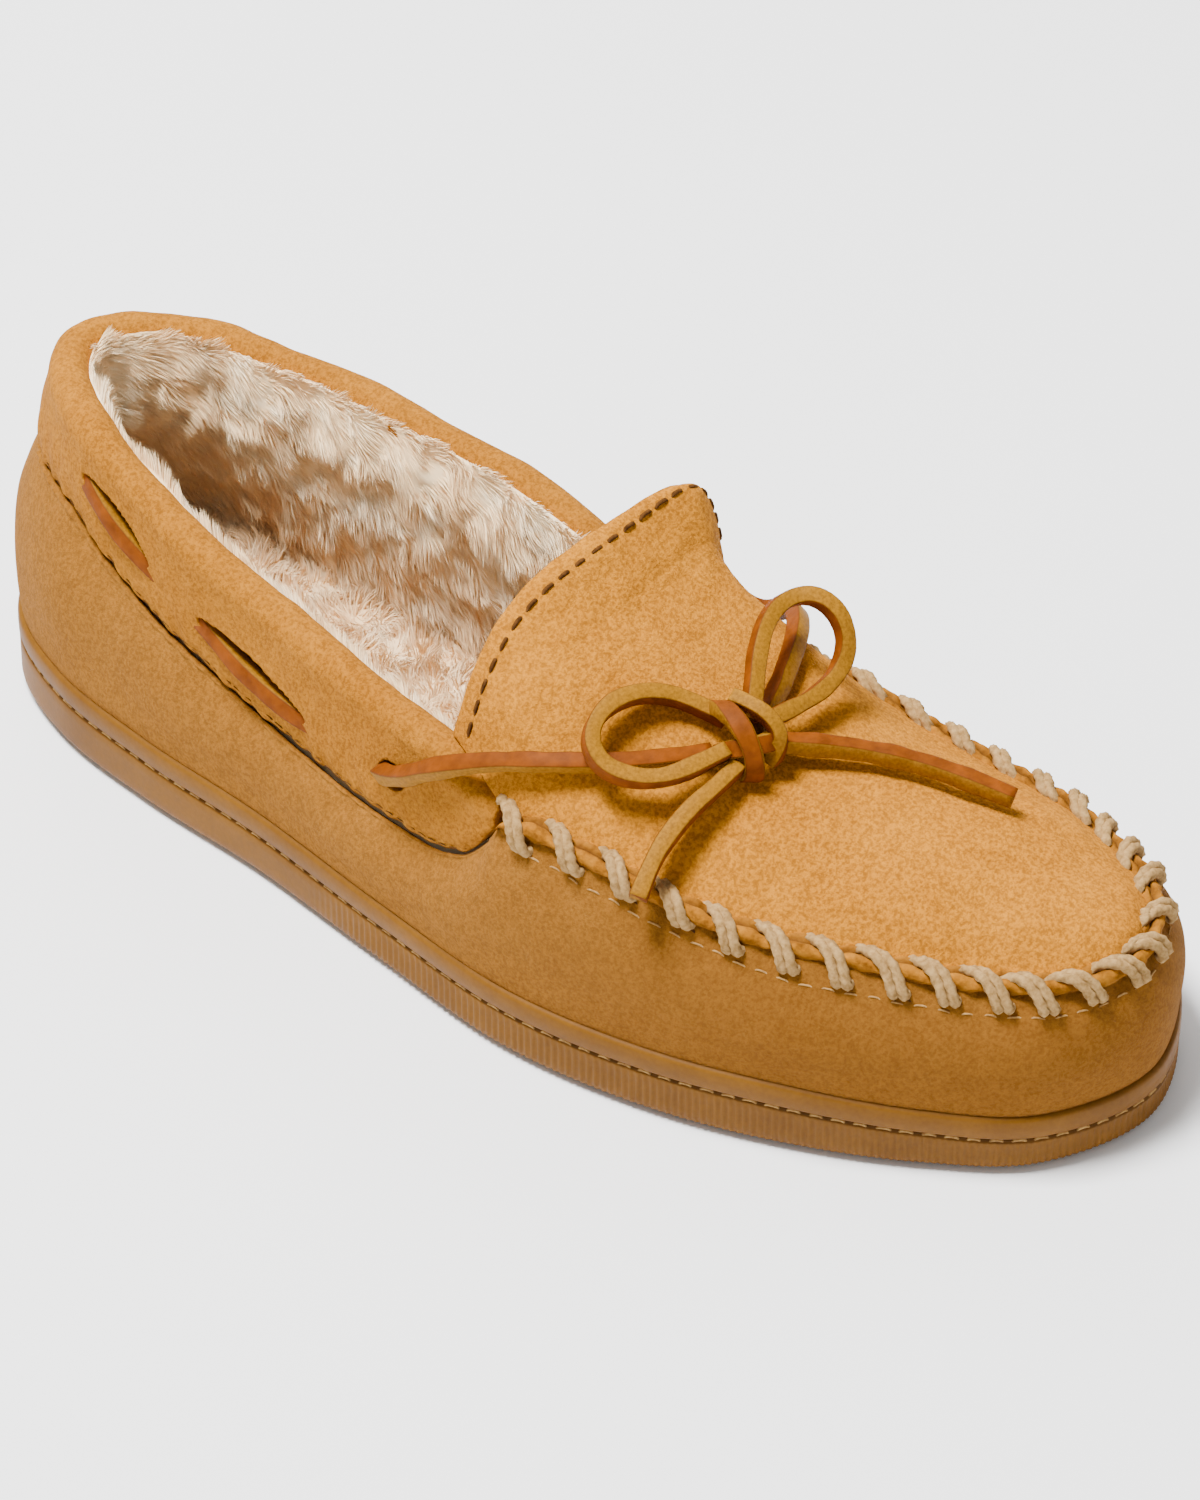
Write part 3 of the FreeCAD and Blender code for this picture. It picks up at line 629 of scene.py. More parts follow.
def thread(name, light, dark, scale):
    """Matt thread."""
    s = Shader(name, 0.85, specular=0.05)
    s.color(s.ramp(s.noise(scale, 3), [(0.32, dark), (0.66, light)]))
    s.bump(s.noise(scale * 1.4, 3), 0.4, 0.0004)
    return s.material


def dress(piece, material, body="root"):
    """Gives a piece its material and body."""
    piece.data.materials.clear()
    piece.data.materials.append(material)
    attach(piece, body)


# ---- outsole ----

# Mesh columns to one rib, and the height where the ribbed band turns under.
RIB_COLUMNS = 4
FOOT_EDGE = 3.0


def outsole_section(t):
    """Rings of the outsole from its top edge down to its foot: inset, height and painted shade."""
    top = profile(SOLE_TOP, t)
    rim = top - 4.9
    ribs = 0.5 - 0.5 * np.cos(2 * np.pi * np.arange(1, len(t) + 1) / RIB_COLUMNS)
    band = 0.42 * ribs * smooth(0.36, 0.46, t)
    lip = [(6.0, top - 0.4, 0), (2.6, top + 0.05, 0), (1.0, top, 0), (0.35, top - 0.3, 0),
           (0.05, top - 0.9, 0), (0.0, top - 2.4, 0), (0.05, rim + 0.5, 0), (0.25, rim + 0.1, 0)]
    # Painted shade in the stitched groove: the third column darkens the rubber.
    groove = [(1.0, rim - 0.15, 0.9), (1.1, rim - 0.6, 1.0), (0.35, rim - 0.95, 0.4)]
    shoulder = rim - 1.3
    ribbed = [(0.15 + band * 0.4, shoulder, 0)]
    for step in np.linspace(0, 1, 5)[1:]:
        ribbed.append((0.15 + band, shoulder + (FOOT_EDGE - rim + 1.3) * step, 0))
    foot = []
    for angle in np.linspace(0, np.pi / 2, 6)[1:]:
        inset = 0.15 + band * math.cos(angle) + 2.4 * (1 - math.cos(angle))
        foot.append((inset, FOOT_EDGE - (FOOT_EDGE - 0.7) * math.sin(angle), 0))
    return lip + groove + ribbed + foot


def make_outsole(material):
    """Smooth rim band, stitched groove, ribbed lower band and rounded foot."""
    columns = 420 * RIB_COLUMNS
    u = np.linspace(0, 1, columns, endpoint=False)
    section = outsole_section(station(u))
    grid = np.stack([ring(u, inset, height) for inset, height, dark in section], axis=1)
    count = len(section)
    faces = grid_faces(columns, count, close_rows=True)
    faces.append(list(range(count - 1, columns * count, count)))
    faces.append(list(range(0, columns * count, count))[::-1])
    sole = new_object("outsole_shell", grid, faces)
    for flat in (len(faces) - 2, len(faces) - 1):
        sole.data.polygons[flat].use_smooth = False
    mark(sole, "shade", [dark * 0.75 for inset, height, dark in section])
    outward_normals(sole)
    dress(sole, material)
    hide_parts("outsole")


def make_tread(material):
    """Low wavy bars across the underside."""
    parts = []
    steps = 29
    section = [(-1.4, 0.9), (-1.1, 0.0), (1.1, 0.0), (1.4, 0.9)]
    for y in np.arange(-120, 121, 6.5):
        t = 0.5 - y / LENGTH
        left = outline(u_at(t, "lateral"))[0] + 6.5
        right = outline(u_at(t, "medial"))[0] - 6.5
        if right - left < 14:
            continue
        x = np.linspace(left, right, steps)
        middle = y + 1.1 * np.sin((x - left) / 3.2)
        grid = np.stack([np.stack([x, middle + dy, np.full_like(x, z)], -1) for dy, z in section], axis=1)
        parts.append((grid, tube_faces(steps, len(section))))
    tread = join("outsole_tread", parts)
    outward_normals(tread)
    mark(tread, "shade", 0)
    dress(tread, material)


def make_sole_stitches(material):
    """Thread in the groove round the outsole."""
    u = np.linspace(0.0, 0.9999, 2400)
    line = ring(u, 0.62, profile(SOLE_TOP, station(u)) - 5.25)
    dress(running_stitches("sole_stitches", line, 4.2, 2.6, 0.36), material)


# ---- upper ----

WHIP_START = u_at(FOLD_STATION["lateral"] + 0.004, "lateral")
WHIP_END = u_at(FOLD_STATION["medial"] + 0.012, "medial")


def pulled(u):
    """1 where a whipstitch draws the seam in, -1 midway between two, 0 away from them."""
    place = (np.asarray(u) % 1.0 - WHIP_START) / (WHIP_END - WHIP_START)
    inside = (place > -0.02) & (place < 1.02)
    return np.where(inside, np.cos(2 * np.pi * place * (WHIP_STITCHES - 1)), 0.0)


def make_wall(material):
    """Suede side of the shoe, drawn in at each whipstitch and gathered under the collar."""
    def surface(u, v, depth):
        base = wall(u, v, 0.0)
        soft = 0.35 * waves(base, 34.0, 11) * smooth(0.05, 0.3, v)
        crease = 0.22 * waves(base * (1, 1, 0.4), 9.0, 12) * smooth(0.45, 0.9, v)
        pucker = -0.45 * pulled(u) * smooth(0.70, 0.97, v)
        foot = 0.55 * (1 - smooth(0.0, 0.25, v))
        t = station(u)
        under_collar = 1 - smooth(0.52, 0.55, t)
        gather = 1 + 0.5 * np.cos(2 * np.pi * u * 150)
        welt = 0.42 * under_collar * gather * np.exp(-((v - 0.972) / 0.012)**2)
        return wall(u, v, depth - soft - crease - pucker - foot - welt)

    us = np.linspace(0, 1, 1100, endpoint=False)
    vs = np.concatenate([np.linspace(0, 0.9, 34), np.linspace(0.9, 1, 18)[1:]])
    piece = layer("suede_wall", surface, us, vs, 0.0, SUEDE, close_rows=True)
    # Painted shade: the side darkens towards the toe, and a little along its top edge under the collar.
    rim = np.concatenate([smooth(0.965, 1.0, vs), 0 * vs])
    toe_side_shade = 0.36 * smooth(0.45, 0.8, station(us))
    mark(piece, "shade", toe_side_shade[:, None] + 0.15 * rim[None, :])
    dress(piece, material)
    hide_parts("side_wall", "heel_counter", "insole_board")
    return piece


def make_ridge(material):
    """Raw edges of plug and wall, gathered between the whipstitches."""
    us = np.linspace(WHIP_START - 0.006, WHIP_END + 0.006, 900)
    place = (us - us[0]) / (us[-1] - us[0])
    ends = np.clip(smooth(0, 0.012, place) * smooth(1, 0.988, place), 0.15, 1)
    swell = (0.64 - 0.22 * pulled(us)) * ends
    middle = seam(us, 0.2) + UP * 0.1
    across = level_outward(us)
    section = [(2.3, -1.0), (2.4, 0.3), (1.9, 1.7), (1.1, 2.5), (0.35, 1.9), (0.0, 1.2), (-0.4, 2.0),
               (-1.2, 2.6), (-2.0, 1.8), (-2.5, 0.4), (-2.4, -1.0)]
    rows = []
    for out, high in section:
        point = middle + across * (out * (0.75 + 0.25 * swell))[:, None] + UP * (high * swell)[:, None]
        rows.append(point + across * (0.30 * waves(point, 3.4, 21))[:, None])
    piece = tube("seam_ridge", np.stack(rows, 1))
    # Painted shade: lightest on the tops of the two edges, darkest in the groove between them and darker
    # down their sides.
    mark(piece, "shade", [0.5, 0.25, 0.0, 0.25, 0.5, 0.95, 0.5, 0.25, 0.0, 0.25, 0.5])
    dress(piece, material)


def landing(tree, origin, direction):
    """Where a ray in millimetres meets a piece's surface."""
    hit = tree.ray_cast(Vector(origin * MM), Vector(direction))[0]
    return np.array(hit) / MM if hit is not None else None


def surface_tree(piece):
    faces = [face.vertices for face in piece.data.polygons]
    return BVHTree.FromPolygons([vertex.co for vertex in piece.data.vertices], faces)


def whip_route(low, ridge, inner, ahead, across, lean):
    """Points of a thread from the wall at low, over the ridge and into the plug at inner."""
    side = ridge + ahead * lean * 0.6 + across * 2.2 + UP * 1.2
    return [low - across * 1.4 + UP * 0.5 + ahead * 0.2, low + across * 0.55 + UP * 0.2,
            (low + side) / 2 + across * 1.0, ridge + ahead * lean * 0.45 + across * 2.2 + UP * 1.5,
            ridge + across * 0.6 + UP * 2.6, ridge - ahead * lean * 0.45 - across * 1.1 + UP * 1.9,
            inner + across * 0.3, inner - UP * 1.8]


def stitch_hole(low, ahead, across):
    """Dark oval of painted shade in the hole where a thread enters the wall, as (points, faces)."""
    centre = low + ahead * 0.6 - UP * 1.1
    sides = 14
    rim = []
    lid = []
    for angle in np.linspace(0, 2 * np.pi, sides, endpoint=False):
        long = ahead * 2.0 * math.cos(angle)
        rim.append(centre + long + UP * math.sin(angle) * 1.3 - across * 0.7)
        lid.append(centre + long * 0.8 + UP * math.sin(angle) * 1.05 + across * 0.18)
    return rim + lid, tube_faces(2, sides)


def make_whip_stitches(material, hole_shade_material, wall_piece, panel_piece):
    """Doubled thick thread from a hole in the wall over the ridge into the plug, leaning along the seam."""
    wall_tree = surface_tree(wall_piece)
    panel_tree = surface_tree(panel_piece)
    threads = []
    holes = []
    chance = np.random.default_rng(5)
    for u in np.linspace(WHIP_START, WHIP_END, WHIP_STITCHES):
        across = level_outward(u)
        ahead = np.cross(across, UP)
        ahead *= -1 if ahead @ (seam(u + 0.004) - seam(u)) < 0 else 1
        lean = chance.uniform(3.3, 4.1)
        drop = chance.uniform(3.1, 3.5)
        ridge = seam(u)
        low = landing(wall_tree, ridge + ahead * lean + across * 14 - UP * drop, -across)
        inner = landing(panel_tree, ridge - ahead * lean - across * 2.1 + UP * 20, -UP)
        low = ridge + across * 3.5 - UP * drop if low is None else low
        inner = ridge - across * 2.1 if inner is None else inner
        route = whip_route(low, ridge, inner, ahead, across, lean)
        for strand in (-1, 1):
            path = nurbs_path([point + ahead * strand * 0.98 for point in route], 5)
            threads.append(twisted(path, 1.0))
        holes.append(stitch_hole(low, ahead, across))
    piece = join("whip_threads", threads)
    outward_normals(piece)
    dress(piece, material)
    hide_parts("whip_stitches")
    # Dark ovals of painted shade in the stitch holes.
    dress(outward_normals(join("stitch_hole_shade", holes)), hole_shade_material)


def make_machine_stitches(material, wall_piece):
    """Fine thread between the holes, under the whipstitches."""
    tree = surface_tree(wall_piece)
    line = []
    for u in np.linspace(WHIP_START, WHIP_END, 500):
        across = level_outward(u)
        spot = landing(tree, seam(u) + across * 14 - UP * 4.0, -across)
        if spot is not None:
            line.append(spot + across * 0.1)
    stitches = running_stitches("machine_stitches", np.array(line), 4.3, 2.3, 0.19, 15)
    dress(stitches, material)


def twisted(path, radius, sides=10, lobes=3, turn=2.2):
    """Plied thread: a rod whose section has lobes that wind along it."""
    points, faces = rod(path, radius, sides)
    points = points.reshape(len(path), sides, 3)
    travelled = arc_lengths(path)
    angles = np.linspace(0, 2 * np.pi, sides, endpoint=False)
    swell = 1 + 0.16 * np.cos(lobes * angles[None] + turn * travelled[:, None])
    points = path[:, None] + (points - path[:, None]) * swell[..., None]
    return points.reshape(-1, 3), faces


def make_panel(material):
    """Plug and tongue, one sheet of suede that bends at the fold."""
    fs = np.concatenate([np.linspace(-1, 0, 70), np.linspace(0, 1, 170)[1:]])
    ss = np.sin(np.linspace(-1, 1, 150) * np.pi / 2 * 0.94) / math.sin(np.pi / 2 * 0.94) * 0.992

    def surface(f, s, depth):
        base = eased_panel_point(f, s)
        soft = 0.45 * waves(base, 30.0, 31) * (1 - np.abs(s)**6)
        crease = 0.12 * waves(base, 8.0, 32)
        return panel(f, s, depth - soft - crease)

    piece = layer("plug_and_tongue", surface, fs, ss, 0.0, SUEDE)
    mark(piece, "shade", 0.25 * smooth(-0.985, -1.0, np.repeat(fs, 2 * len(ss))))
    piece.data.materials.append(material)
    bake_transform(piece)
    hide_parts("plug", "tongue")
    return piece


def make_tongue_stitches(material):
    """Row of stitches across the tongue, near its rear edge."""
    line = panel(-0.80, np.linspace(-0.97, 0.97, 500), -0.25)
    stitches = running_stitches("tongue_running_stitch", line, 4.4, 3.0, 0.42)
    dress(stitches, material, "tongue")
    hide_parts("tongue_stitches")


def slot_shape(u, v):
    """How far the collar's face is opened for the lace: 1 inside a slot, 0 outside."""
    t = station(u)
    lane = profile(LACE_HEIGHT, t)
    opened = np.zeros(np.broadcast(u, v).shape)
    for start, end in COLLAR_SLOTS + [COLLAR_EXIT]:
        place = np.clip((t - start) / (end - start), 0, 1)
        half = 0.058 * np.sqrt(np.clip(np.sin(np.pi * place), 0, 1)) + 1e-6
        off = np.abs(v - lane) / half
        opened = np.maximum(opened, np.where((place > 0) & (place < 1), 1 - smooth(0.8, 1.08, off), 0))
    return opened


def make_collar(material):
    """Padded collar with lens-shaped slots where the lace shows."""
    rows = 1500
    us = np.linspace(u_at(COLLAR_FRONT, "lateral"), u_at(COLLAR_FRONT, "medial") - 1, rows)
    vs = np.concatenate([np.linspace(0, 0.42, 64), np.linspace(0.42, 1, 46)[1:]])
    u = us[:, None]
    v = vs[None, :]
    base = collar(u, v)
    soft = 0.35 * waves(base, 26.0, 41)
    crease = 0.22 * waves(base * (1, 1, 0.5), 7.0, 42) * (0.4 + 0.6 * (1 - smooth(0.1, 0.34, v)))
    travelled = arc_lengths(base[:, 0])[:, None]
    pucker = 0.16 * np.cos(2 * np.pi * travelled / 5.2) * (1 - smooth(0.02, 0.13, v))
    tuck = -0.5 * (1 - smooth(0.0, 0.03, v))
    opened = slot_shape(u, v)
    lip = 0.5 * np.clip(1 - np.abs(opened - 0.12) / 0.12, 0, 1)
    grid = collar(u, v, -(soft + crease + pucker + tuck + lip) * (1 - opened) + 3.1 * opened)
    place = np.linspace(0, 1, rows)
    close = np.minimum(place, 1 - place)[:, None, None] * travelled[-1, 0]
    shrink = 0.45 + 0.55 * np.sqrt(np.clip(close / 4.0, 0, 1))
    middle = grid.mean(axis=1, keepdims=True)
    grid = middle + (grid - middle) * shrink
    piece = tube("padded_collar", grid)
    # Painted shade: dark inside the lace slots, and along the lower edge where the collar overhangs the
    # wall, fading at its ends.
    seam_shade = 0.32 * (1 - smooth(0.004, 0.018, v)) * smooth(6.0, 30.0, close[..., 0])
    mark(piece, "shade", np.clip(opened * 0.95 + seam_shade, 0, 1))
    dress(piece, material)
    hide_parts("collar_cover", "collar_padding")


def make_slot_laces(material):
    """The lace where it shows in the collar's slots."""
    for number, (start, end) in enumerate(COLLAR_SLOTS):
        for side in ("lateral", "medial"):
            t = np.linspace(start - 0.006, end + 0.006, 60)
            u = u_at(t, side)
            place = np.linspace(0, 1, 60)
            depth = 2.4 - 1.7 * np.sin(np.pi * place)
            path = collar(u, profile(LACE_HEIGHT, t) - 0.028, depth)
            facing = UP - 0.35 * level_outward(u)
            piece = strap("slot_lace_%s_%d" % (side, number), path, facing, LACE, LACE, 50 + number)
            dress(piece, material)
    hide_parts("lace_collar_run")


def make_collar_seam(material):
    """Fine stitches along the collar's lower edge."""
    us = np.linspace(u_at(0.53, "lateral"), u_at(0.53, "medial") - 1, 1400)
    line = collar(us, 0.042, 0.05)
    stitches = running_stitches("collar_running_stitch", line, 2.9, 2.0, 0.12, 9)
    dress(stitches, material)
    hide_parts("collar_stitches")


# ---- pile lining ----

def lining_point(u, v):
    """Inside of the back half: from the collar's inner side (v = 0) down to the footbed (v = 1)."""
    t = station(u)
    inset_top = sided(COLLAR_INSET, u, t) + 2 * COLLAR_RADIUS + 0.3
    top = sided(COLLAR_TOP, u, t) - COLLAR_RADIUS + sided(LINING_RISE, u, t)
    foot = profile(SOLE_TOP, t) + 9.0

    def curve(w):
        w = np.clip(w, -0.1, 1.1)
        bulge = 1.5 * np.sin(np.pi * np.clip(w * 2.6, 0, 1))
        return inset_top + (6.5 - inset_top) * smooth(0.35, 0.95, w) + bulge, top + (foot - top) * w

    return in_section(u, curve, v, 0.0)


def blades(name, roots, normals, length, width, lean, seed, shade, droop=0.25):
    """Pile fibres: flat tapering blades that bend over, in one mesh."""
    chance = np.random.default_rng(seed)
    count = len(roots)
    side = np.cross(normals, chance.normal(size=(count, 3)))
    side /= np.linalg.norm(side, axis=1, keepdims=True)
    tuft = np.stack([waves(roots, 7.0, seed + k) for k in range(3)], -1)
    aim = normals + lean * tuft + 0.18 * chance.normal(size=(count, 3)) * lean
    aim /= np.linalg.norm(aim, axis=1, keepdims=True)
    tall = length * (0.65 + 0.35 * chance.random(count) + 0.2 * waves(roots, 12.0, seed + 9))[:, None]
    wide = side * (width * chance.uniform(0.7, 1.2, count)[:, None])
    mid = roots + aim * tall * 0.55
    tip = mid + (aim + tuft * lean - UP * droop) * tall * 0.45
    points = np.stack([roots - wide, roots + wide, mid - wide * 0.7, mid + wide * 0.7, tip], axis=1)
    first = (np.arange(count) * 5)[:, None]
    quads = (first + np.array([[0, 1, 3, 2]])).tolist()
    tips = (first + np.array([[2, 3, 4]])).tolist()
    return mark(new_object(name, points, quads + tips), "shade", np.repeat(shade, 5))


def make_lining(material):
    """Pile of the back half: an uneven skin with fibres that lie along the shoe."""
    us = np.linspace(u_at(0.565, "lateral"), u_at(0.565, "medial") - 1, 420)
    vs = np.linspace(0, 1, 60)
    base = lining_point(us[:, None], vs[None, :])
    normal = np.cross(np.gradient(base, axis=0), np.gradient(base, axis=1))
    normal /= np.linalg.norm(normal, axis=-1, keepdims=True)
    normal *= np.sign((normal * -level_outward(us)[:, None]).sum(-1, keepdims=True))
    skin = base + normal * (0.3 * waves(base, 7.0, 61) + 0.5 * waves(base, 16.0, 62))[..., None]
    back = base - normal * 2.2
    grid = np.concatenate([skin, back[:, ::-1]], axis=1)
    piece = tube("quarter_pile", grid)
    # Painted shade: the pile darkens lower down inside the shoe; its fibres take most of it.
    deep_shade = 0.40 * smooth(60, 30, base[..., 2])
    mark(piece, "shade", np.concatenate([deep_shade, deep_shade[:, ::-1]], axis=1))
    dress(piece, material)
    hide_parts("quarter_lining")
    chance = np.random.default_rng(71)
    count = 80000
    row = chance.uniform(0, len(us) - 1.001, count)
    column = chance.uniform(0, 1, count) ** 1.15 * (len(vs) - 1.001)
    i, j = row.astype(int), column.astype(int)
    roots = skin[i, j] + (skin[i + 1, j] - skin[i, j]) * (row - i)[:, None]
    roots += (skin[i, j + 1] - skin[i, j]) * (column - j)[:, None]
    along = np.gradient(base, axis=0)
    along /= np.linalg.norm(along, axis=-1, keepdims=True)
    lift = 1.1 * (1 - smooth(0.0, 5.0, column)) - 0.25
    normals = normal[i, j] * 0.5 + UP * lift[:, None] + along[i, j] * 0.85
    roots -= normal[i, j] * 0.5
    fibres = blades("quarter_fibres", roots, normals, 5.4, 0.12, 0.20, 72, deep_shade[i, j] * 0.8)
    dress(fibres, material)


def make_footbed(material):
    """Pile sock on the footbed."""
    t = np.linspace(0.02, 0.975, 150)
    across = np.linspace(0, 1, 50)
    left = ring(u_at(t, "lateral"), 4.0, profile(SOLE_TOP, t) + 7.6)
    right = ring(u_at(t, "medial"), 4.0, profile(SOLE_TOP, t) + 7.6)
    base = left[:, None] + (right - left)[:, None] * across[None, :, None]
    base[..., 2] += 0.6 * waves(base, 9.0, 81) - 1.2 * np.sin(np.pi * across)[None]
    under = base - UP * 7.0
    grid = np.concatenate([base, under[:, ::-1]], axis=1)
    piece = tube("footbed_sock", grid)
    # Painted shade: the footbed lies deep inside the shoe.
    mark(piece, "shade", 0.4)
    dress(piece, material)
    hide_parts("footbed_pile", "footbed_foam")
    chance = np.random.default_rng(82)
    count = 26000
    row = chance.uniform(0, 110, count)
    column = chance.uniform(1, 48, count)
    i, j = row.astype(int), column.astype(int)
    roots = base[i, j] + chance.uniform(-0.8, 0.8, (count, 3)) * (1, 1, 0)
    upright = np.tile(UP, (count, 1))
    # The fibres' 0.35 is painted shade as well.
    fibres = blades("footbed_fibres", roots, upright, 5.0, 0.18, 0.6, 83, 0.35, 0.2)
    dress(fibres, material)


def make_plug_lining(material):
    """Pile under the plug."""
    piece = layer("plug_pile", panel, np.linspace(0.01, 0.93, 60), np.linspace(-0.86, 0.86, 60),
                  SUEDE + 0.25, PILE)
    # Painted shade under the plug.
    mark(piece, "shade", 0.4)
    dress(piece, material)
    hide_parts("plug_lining")


def make_tongue_lining(material):
    """Pile behind the tongue, with its fibres."""
    piece = layer("tongue_pile", panel, np.linspace(-0.965, -0.05, 50), np.linspace(-0.93, 0.93, 70),
                  SUEDE + 0.2, PILE)
    # A little painted shade on the pile behind the tongue.
    mark(piece, "shade", 0.1)
    dress(piece, material, "tongue")
    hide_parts("tongue_lining")
    chance = np.random.default_rng(93)
    count = 16000
    f = chance.uniform(-0.96, -0.06, count)
    s = chance.uniform(-0.92, 0.92, count)
    inward = panel(f, s, 1.0) - panel(f, s) - UP * 0.5
    roots = panel(f, s, SUEDE + PILE)
    # Its fibres take the same little painted shade.
    fibres = blades("tongue_fibres", roots, inward, 4.4, 0.13, 0.2, 94, 0.1)
    dress(fibres, material, "tongue")


def make_vamp_lining(material):
    """Pile inside the toe, behind the side."""
    us = np.linspace(u_at(0.54, "lateral"), u_at(0.54, "medial"), 160)
    piece = layer("vamp_pile", wall, us, np.linspace(0.2, 0.82, 20), SUEDE + 0.25, PILE)
    # Painted shade inside the toe.
    mark(piece, "shade", 0.5)
    dress(piece, material)
    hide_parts("vamp_lining")


# ---- lace and bow ----

def camera_axes():
    """Directions in space that the camera sees as right, up and towards itself."""
    a, e = math.radians(VIEW_AZIMUTH), math.radians(VIEW_ELEVATION)
    back = np.array([math.sin(a) * math.cos(e), -math.cos(a) * math.cos(e), math.sin(e)])
    right = np.array([math.cos(a), math.sin(a), 0.0])
    return right, np.cross(back, right), back


def loop_facing(points):
    """Normal of the plane that a loop lies nearest to, on its upper side."""
    points = np.array(points, float)
    normal = np.linalg.svd(points - points.mean(0))[2][2]
    return normal if normal[2] > 0 else -normal


def sideways(path):
    """Level vectors across a path."""
    return np.cross(np.gradient(path, axis=0), UP)


def make_front_laces(material):
    """Lace from the collar's two ends to the bow."""
    runs = [("front_lace_lateral", [(-35.3, 15.0, 44.2)] + FRONT_LATERAL, "lace_front_lateral"),
            ("front_lace_medial", FRONT_MEDIAL, "lace_front_medial")]
    for number, (name, route, node) in enumerate(runs):
        path = nurbs_path(route)
        piece = strap(name, path, sideways(path) - UP * 0.4, seed=90 + number)
        dress(piece, material)
        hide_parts(node)


def make_loops(material):
    """The two loops of the bow, each on its own body."""
    for number, (name, route) in enumerate((("bow_loop_lateral", LOOP_LATERAL),
                                            ("bow_loop_medial", LOOP_MEDIAL))):
        path = nurbs_path(route)
        piece = strap(name + "_lace", path, loop_facing(route), LACE, LACE * 0.92, seed=94 + number)
        dress(piece, material, name)
        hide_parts(name)


def make_tails(material):
    """The two free ends of the lace."""
    for number, (name, route) in enumerate((("lace_tail_lateral", TAIL_LATERAL),
                                            ("lace_tail_medial", TAIL_MEDIAL))):
        path = nurbs_path(route)
        facing = sideways(path) if name == "lace_tail_medial" else np.array([-0.4, -0.3, 0.85])
        piece = strap(name + "_end", path, facing, seed=98 + number)
        dress(piece, material)
        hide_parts(name)


def make_knot(material):
    """Wrap of the bow: one strap over the crossing, one behind it and a short one inside."""
    right, up, back = camera_axes()

    def place(x, y, z):
        return KNOT + right * x + up * y + back * z

    wrap = [place(-4.9, 6.4, -2.5), place(-4.9, 7.2, 2.4), place(-2.2, 5.0, 5.2), place(0.6, 0.8, 6.0),
            place(1.8, -3.4, 4.0), place(1.6, -5.6, 0.5), place(0.0, -5.4, -3.0)]
    behind = [place(-2.2, 8.6, 0.2), place(1.5, 7.2, 2.2), place(5.2, 4.2, 2.6), place(6.6, 0.6, 1.2),
              place(5.0, -2.8, -1.8)]
    inner = [place(-4.6, -1.6, -1.5), place(-3.2, -1.0, 2.6), place(0.6, -0.4, 3.4), place(4.6, 0.4, 1.6),
             place(6.2, 1.6, -1.5)]
    for name, route, facing in (("knot_wrap", wrap, right), ("knot_behind", behind, up * 0.4 + back),
                                ("knot_inner", inner, up)):
        piece = strap(name, nurbs_path(route), facing, LACE * 0.9, LACE * 1.1, 105)
        dress(piece, material)
    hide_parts("bow_knot")


# ---- stage ----

def make_floor():
    data = bpy.data.meshes.new("floor")
    data.from_pydata([(-3, -3, 0), (3, -3, 0), (3, 3, 0), (-3, 3, 0)], [], [(0, 1, 2, 3)])
    floor = bpy.data.objects.new("floor", data)
    bpy.context.scene.collection.objects.link(floor)
    s = Shader("pale_floor", 0.9, specular=0.1)
    s.color(s.ramp(s.noise(3), [(0.3, (0.93, 0.93, 0.93)), (0.7, (0.95, 0.95, 0.95))]))
    floor.data.materials.append(s.material)


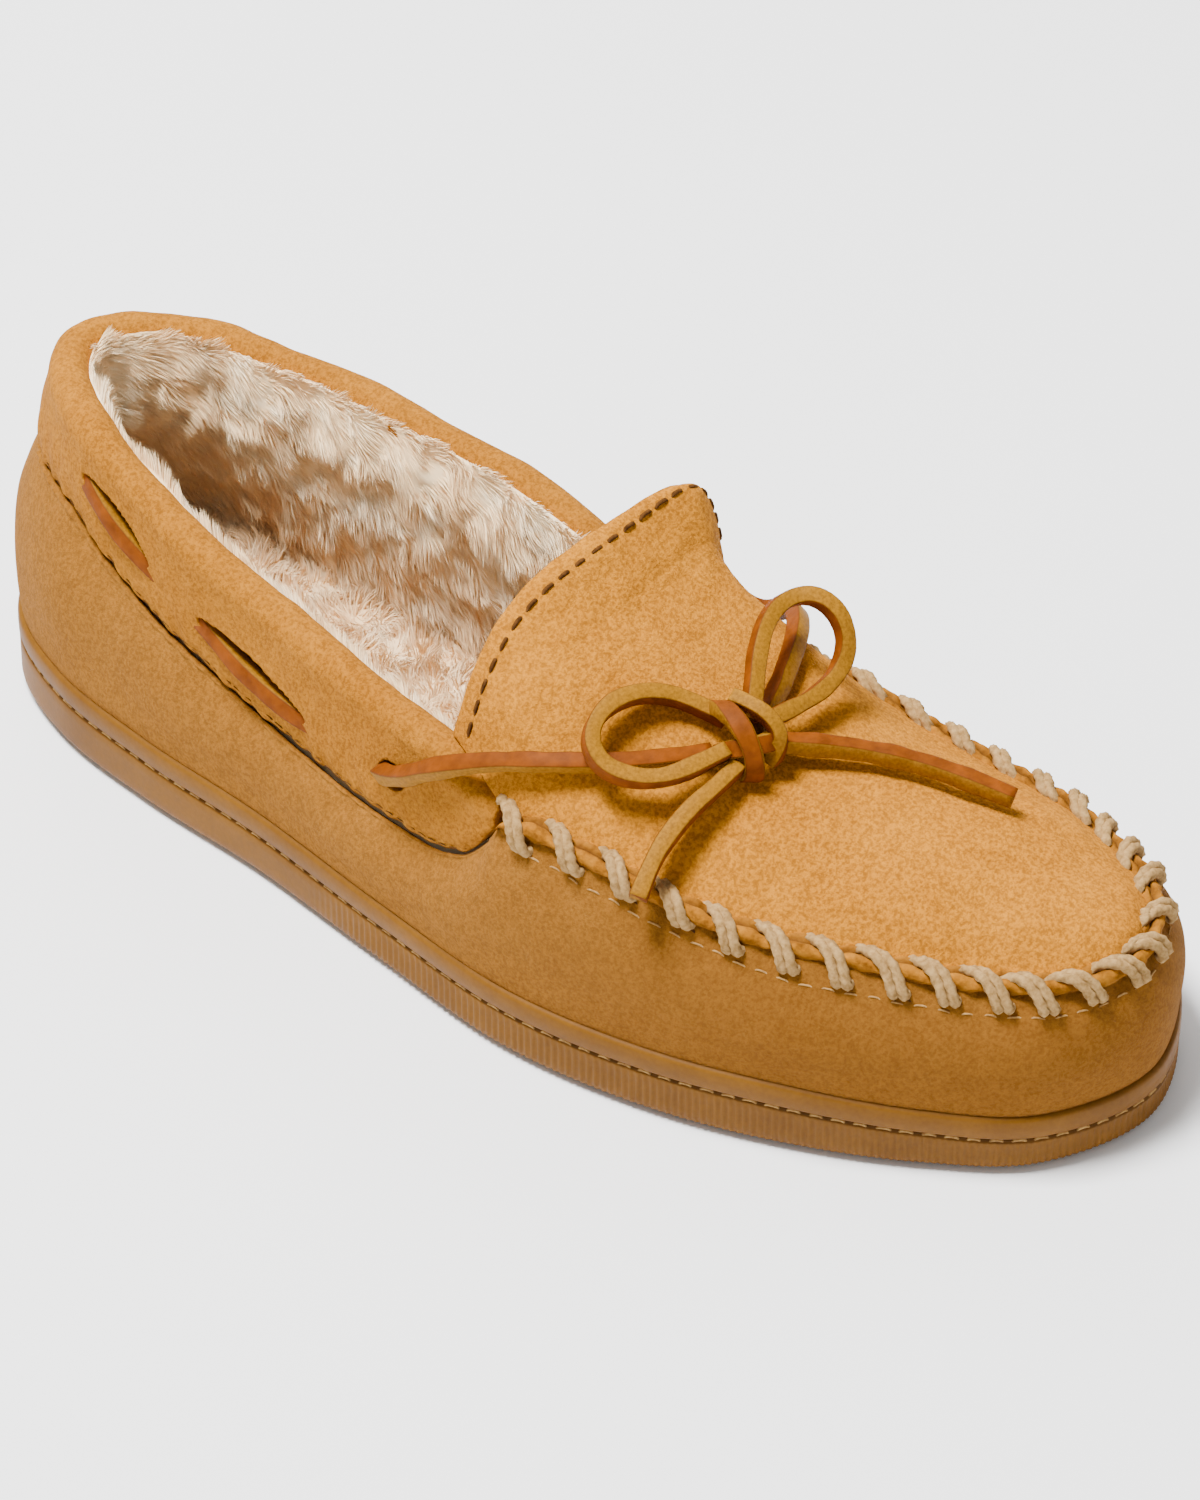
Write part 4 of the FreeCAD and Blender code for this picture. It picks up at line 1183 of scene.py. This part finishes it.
def make_lights():
    """Even white surroundings with soft lamps."""
    world = bpy.data.worlds.new("studio")
    world.use_nodes = True
    world.node_tree.nodes["Background"].inputs["Color"].default_value = (1, 1, 1, 1)
    world.node_tree.nodes["Background"].inputs["Strength"].default_value = 0.52
    bpy.context.scene.world = world
    for name, place, power, size in LIGHTS:
        light = bpy.data.lights.new(name, "AREA")
        light.energy = power
        light.size = size
        lamp = bpy.data.objects.new(name, light)
        lamp.location = place
        lamp.rotation_euler = (VIEW_TARGET - Vector(place)).to_track_quat("-Z", "Y").to_euler()
        bpy.context.scene.collection.objects.link(lamp)


def make_camera():
    right, up, back = camera_axes()
    data = bpy.data.cameras.new("camera")
    data.lens = LENS
    data.sensor_width = 36.0
    data.shift_x, data.shift_y = SHIFT
    camera = bpy.data.objects.new("camera", data)
    turn = Matrix((Vector(right), Vector(up), Vector(back))).transposed().to_4x4()
    camera.matrix_world = Matrix.Translation(VIEW_TARGET + Vector(back) * VIEW_DISTANCE) @ turn
    bpy.context.scene.collection.objects.link(camera)
    bpy.context.scene.camera = camera


# ---- everything together ----

# One golden suede three times: the collar's and the side's copies are darker, painted shade for parts that
# catch less light than the plug.
golden = suede("golden_suede", (0.53, 0.205, 0.011), (0.36, 0.122, 0.004), 0.55)
shaded_collar_suede = suede("golden_suede_collar_shaded", (0.395, 0.153, 0.011), (0.285, 0.098, 0.005), 0.60)
shaded_wall_suede = suede("golden_suede_side_shaded", (0.285, 0.116, 0.015), (0.22, 0.083, 0.009), 0.68)
lace_leather = rawhide()
brown_rubber = rubber()
cream_pile = pile()
cream_thread = thread("cream_thread", (0.40, 0.245, 0.095), (0.22, 0.122, 0.040), 900)
tan_thread = thread("tan_thread", (0.42, 0.24, 0.08), (0.22, 0.11, 0.035), 900)
brown_thread = thread("brown_thread", (0.105, 0.042, 0.010), (0.045, 0.017, 0.004), 900)

make_camera()
make_floor()
make_lights()
make_front_laces(lace_leather)
make_loops(lace_leather)
make_tails(lace_leather)
make_knot(lace_leather)
make_outsole(brown_rubber)
make_tread(brown_rubber)
make_sole_stitches(tan_thread)
side = make_wall(shaded_wall_suede)
make_ridge(raw_edge())
upper = make_panel(golden)
make_whip_stitches(cream_thread, brown_thread, side, upper)
make_machine_stitches(tan_thread, side)
make_tongue_stitches(brown_thread)
make_collar(shaded_collar_suede)
make_slot_laces(lace_leather)
make_collar_seam(brown_thread)
make_lining(cream_pile)
make_footbed(cream_pile)
make_plug_lining(cream_pile)
make_tongue_lining(cream_pile)
make_vamp_lining(cream_pile)
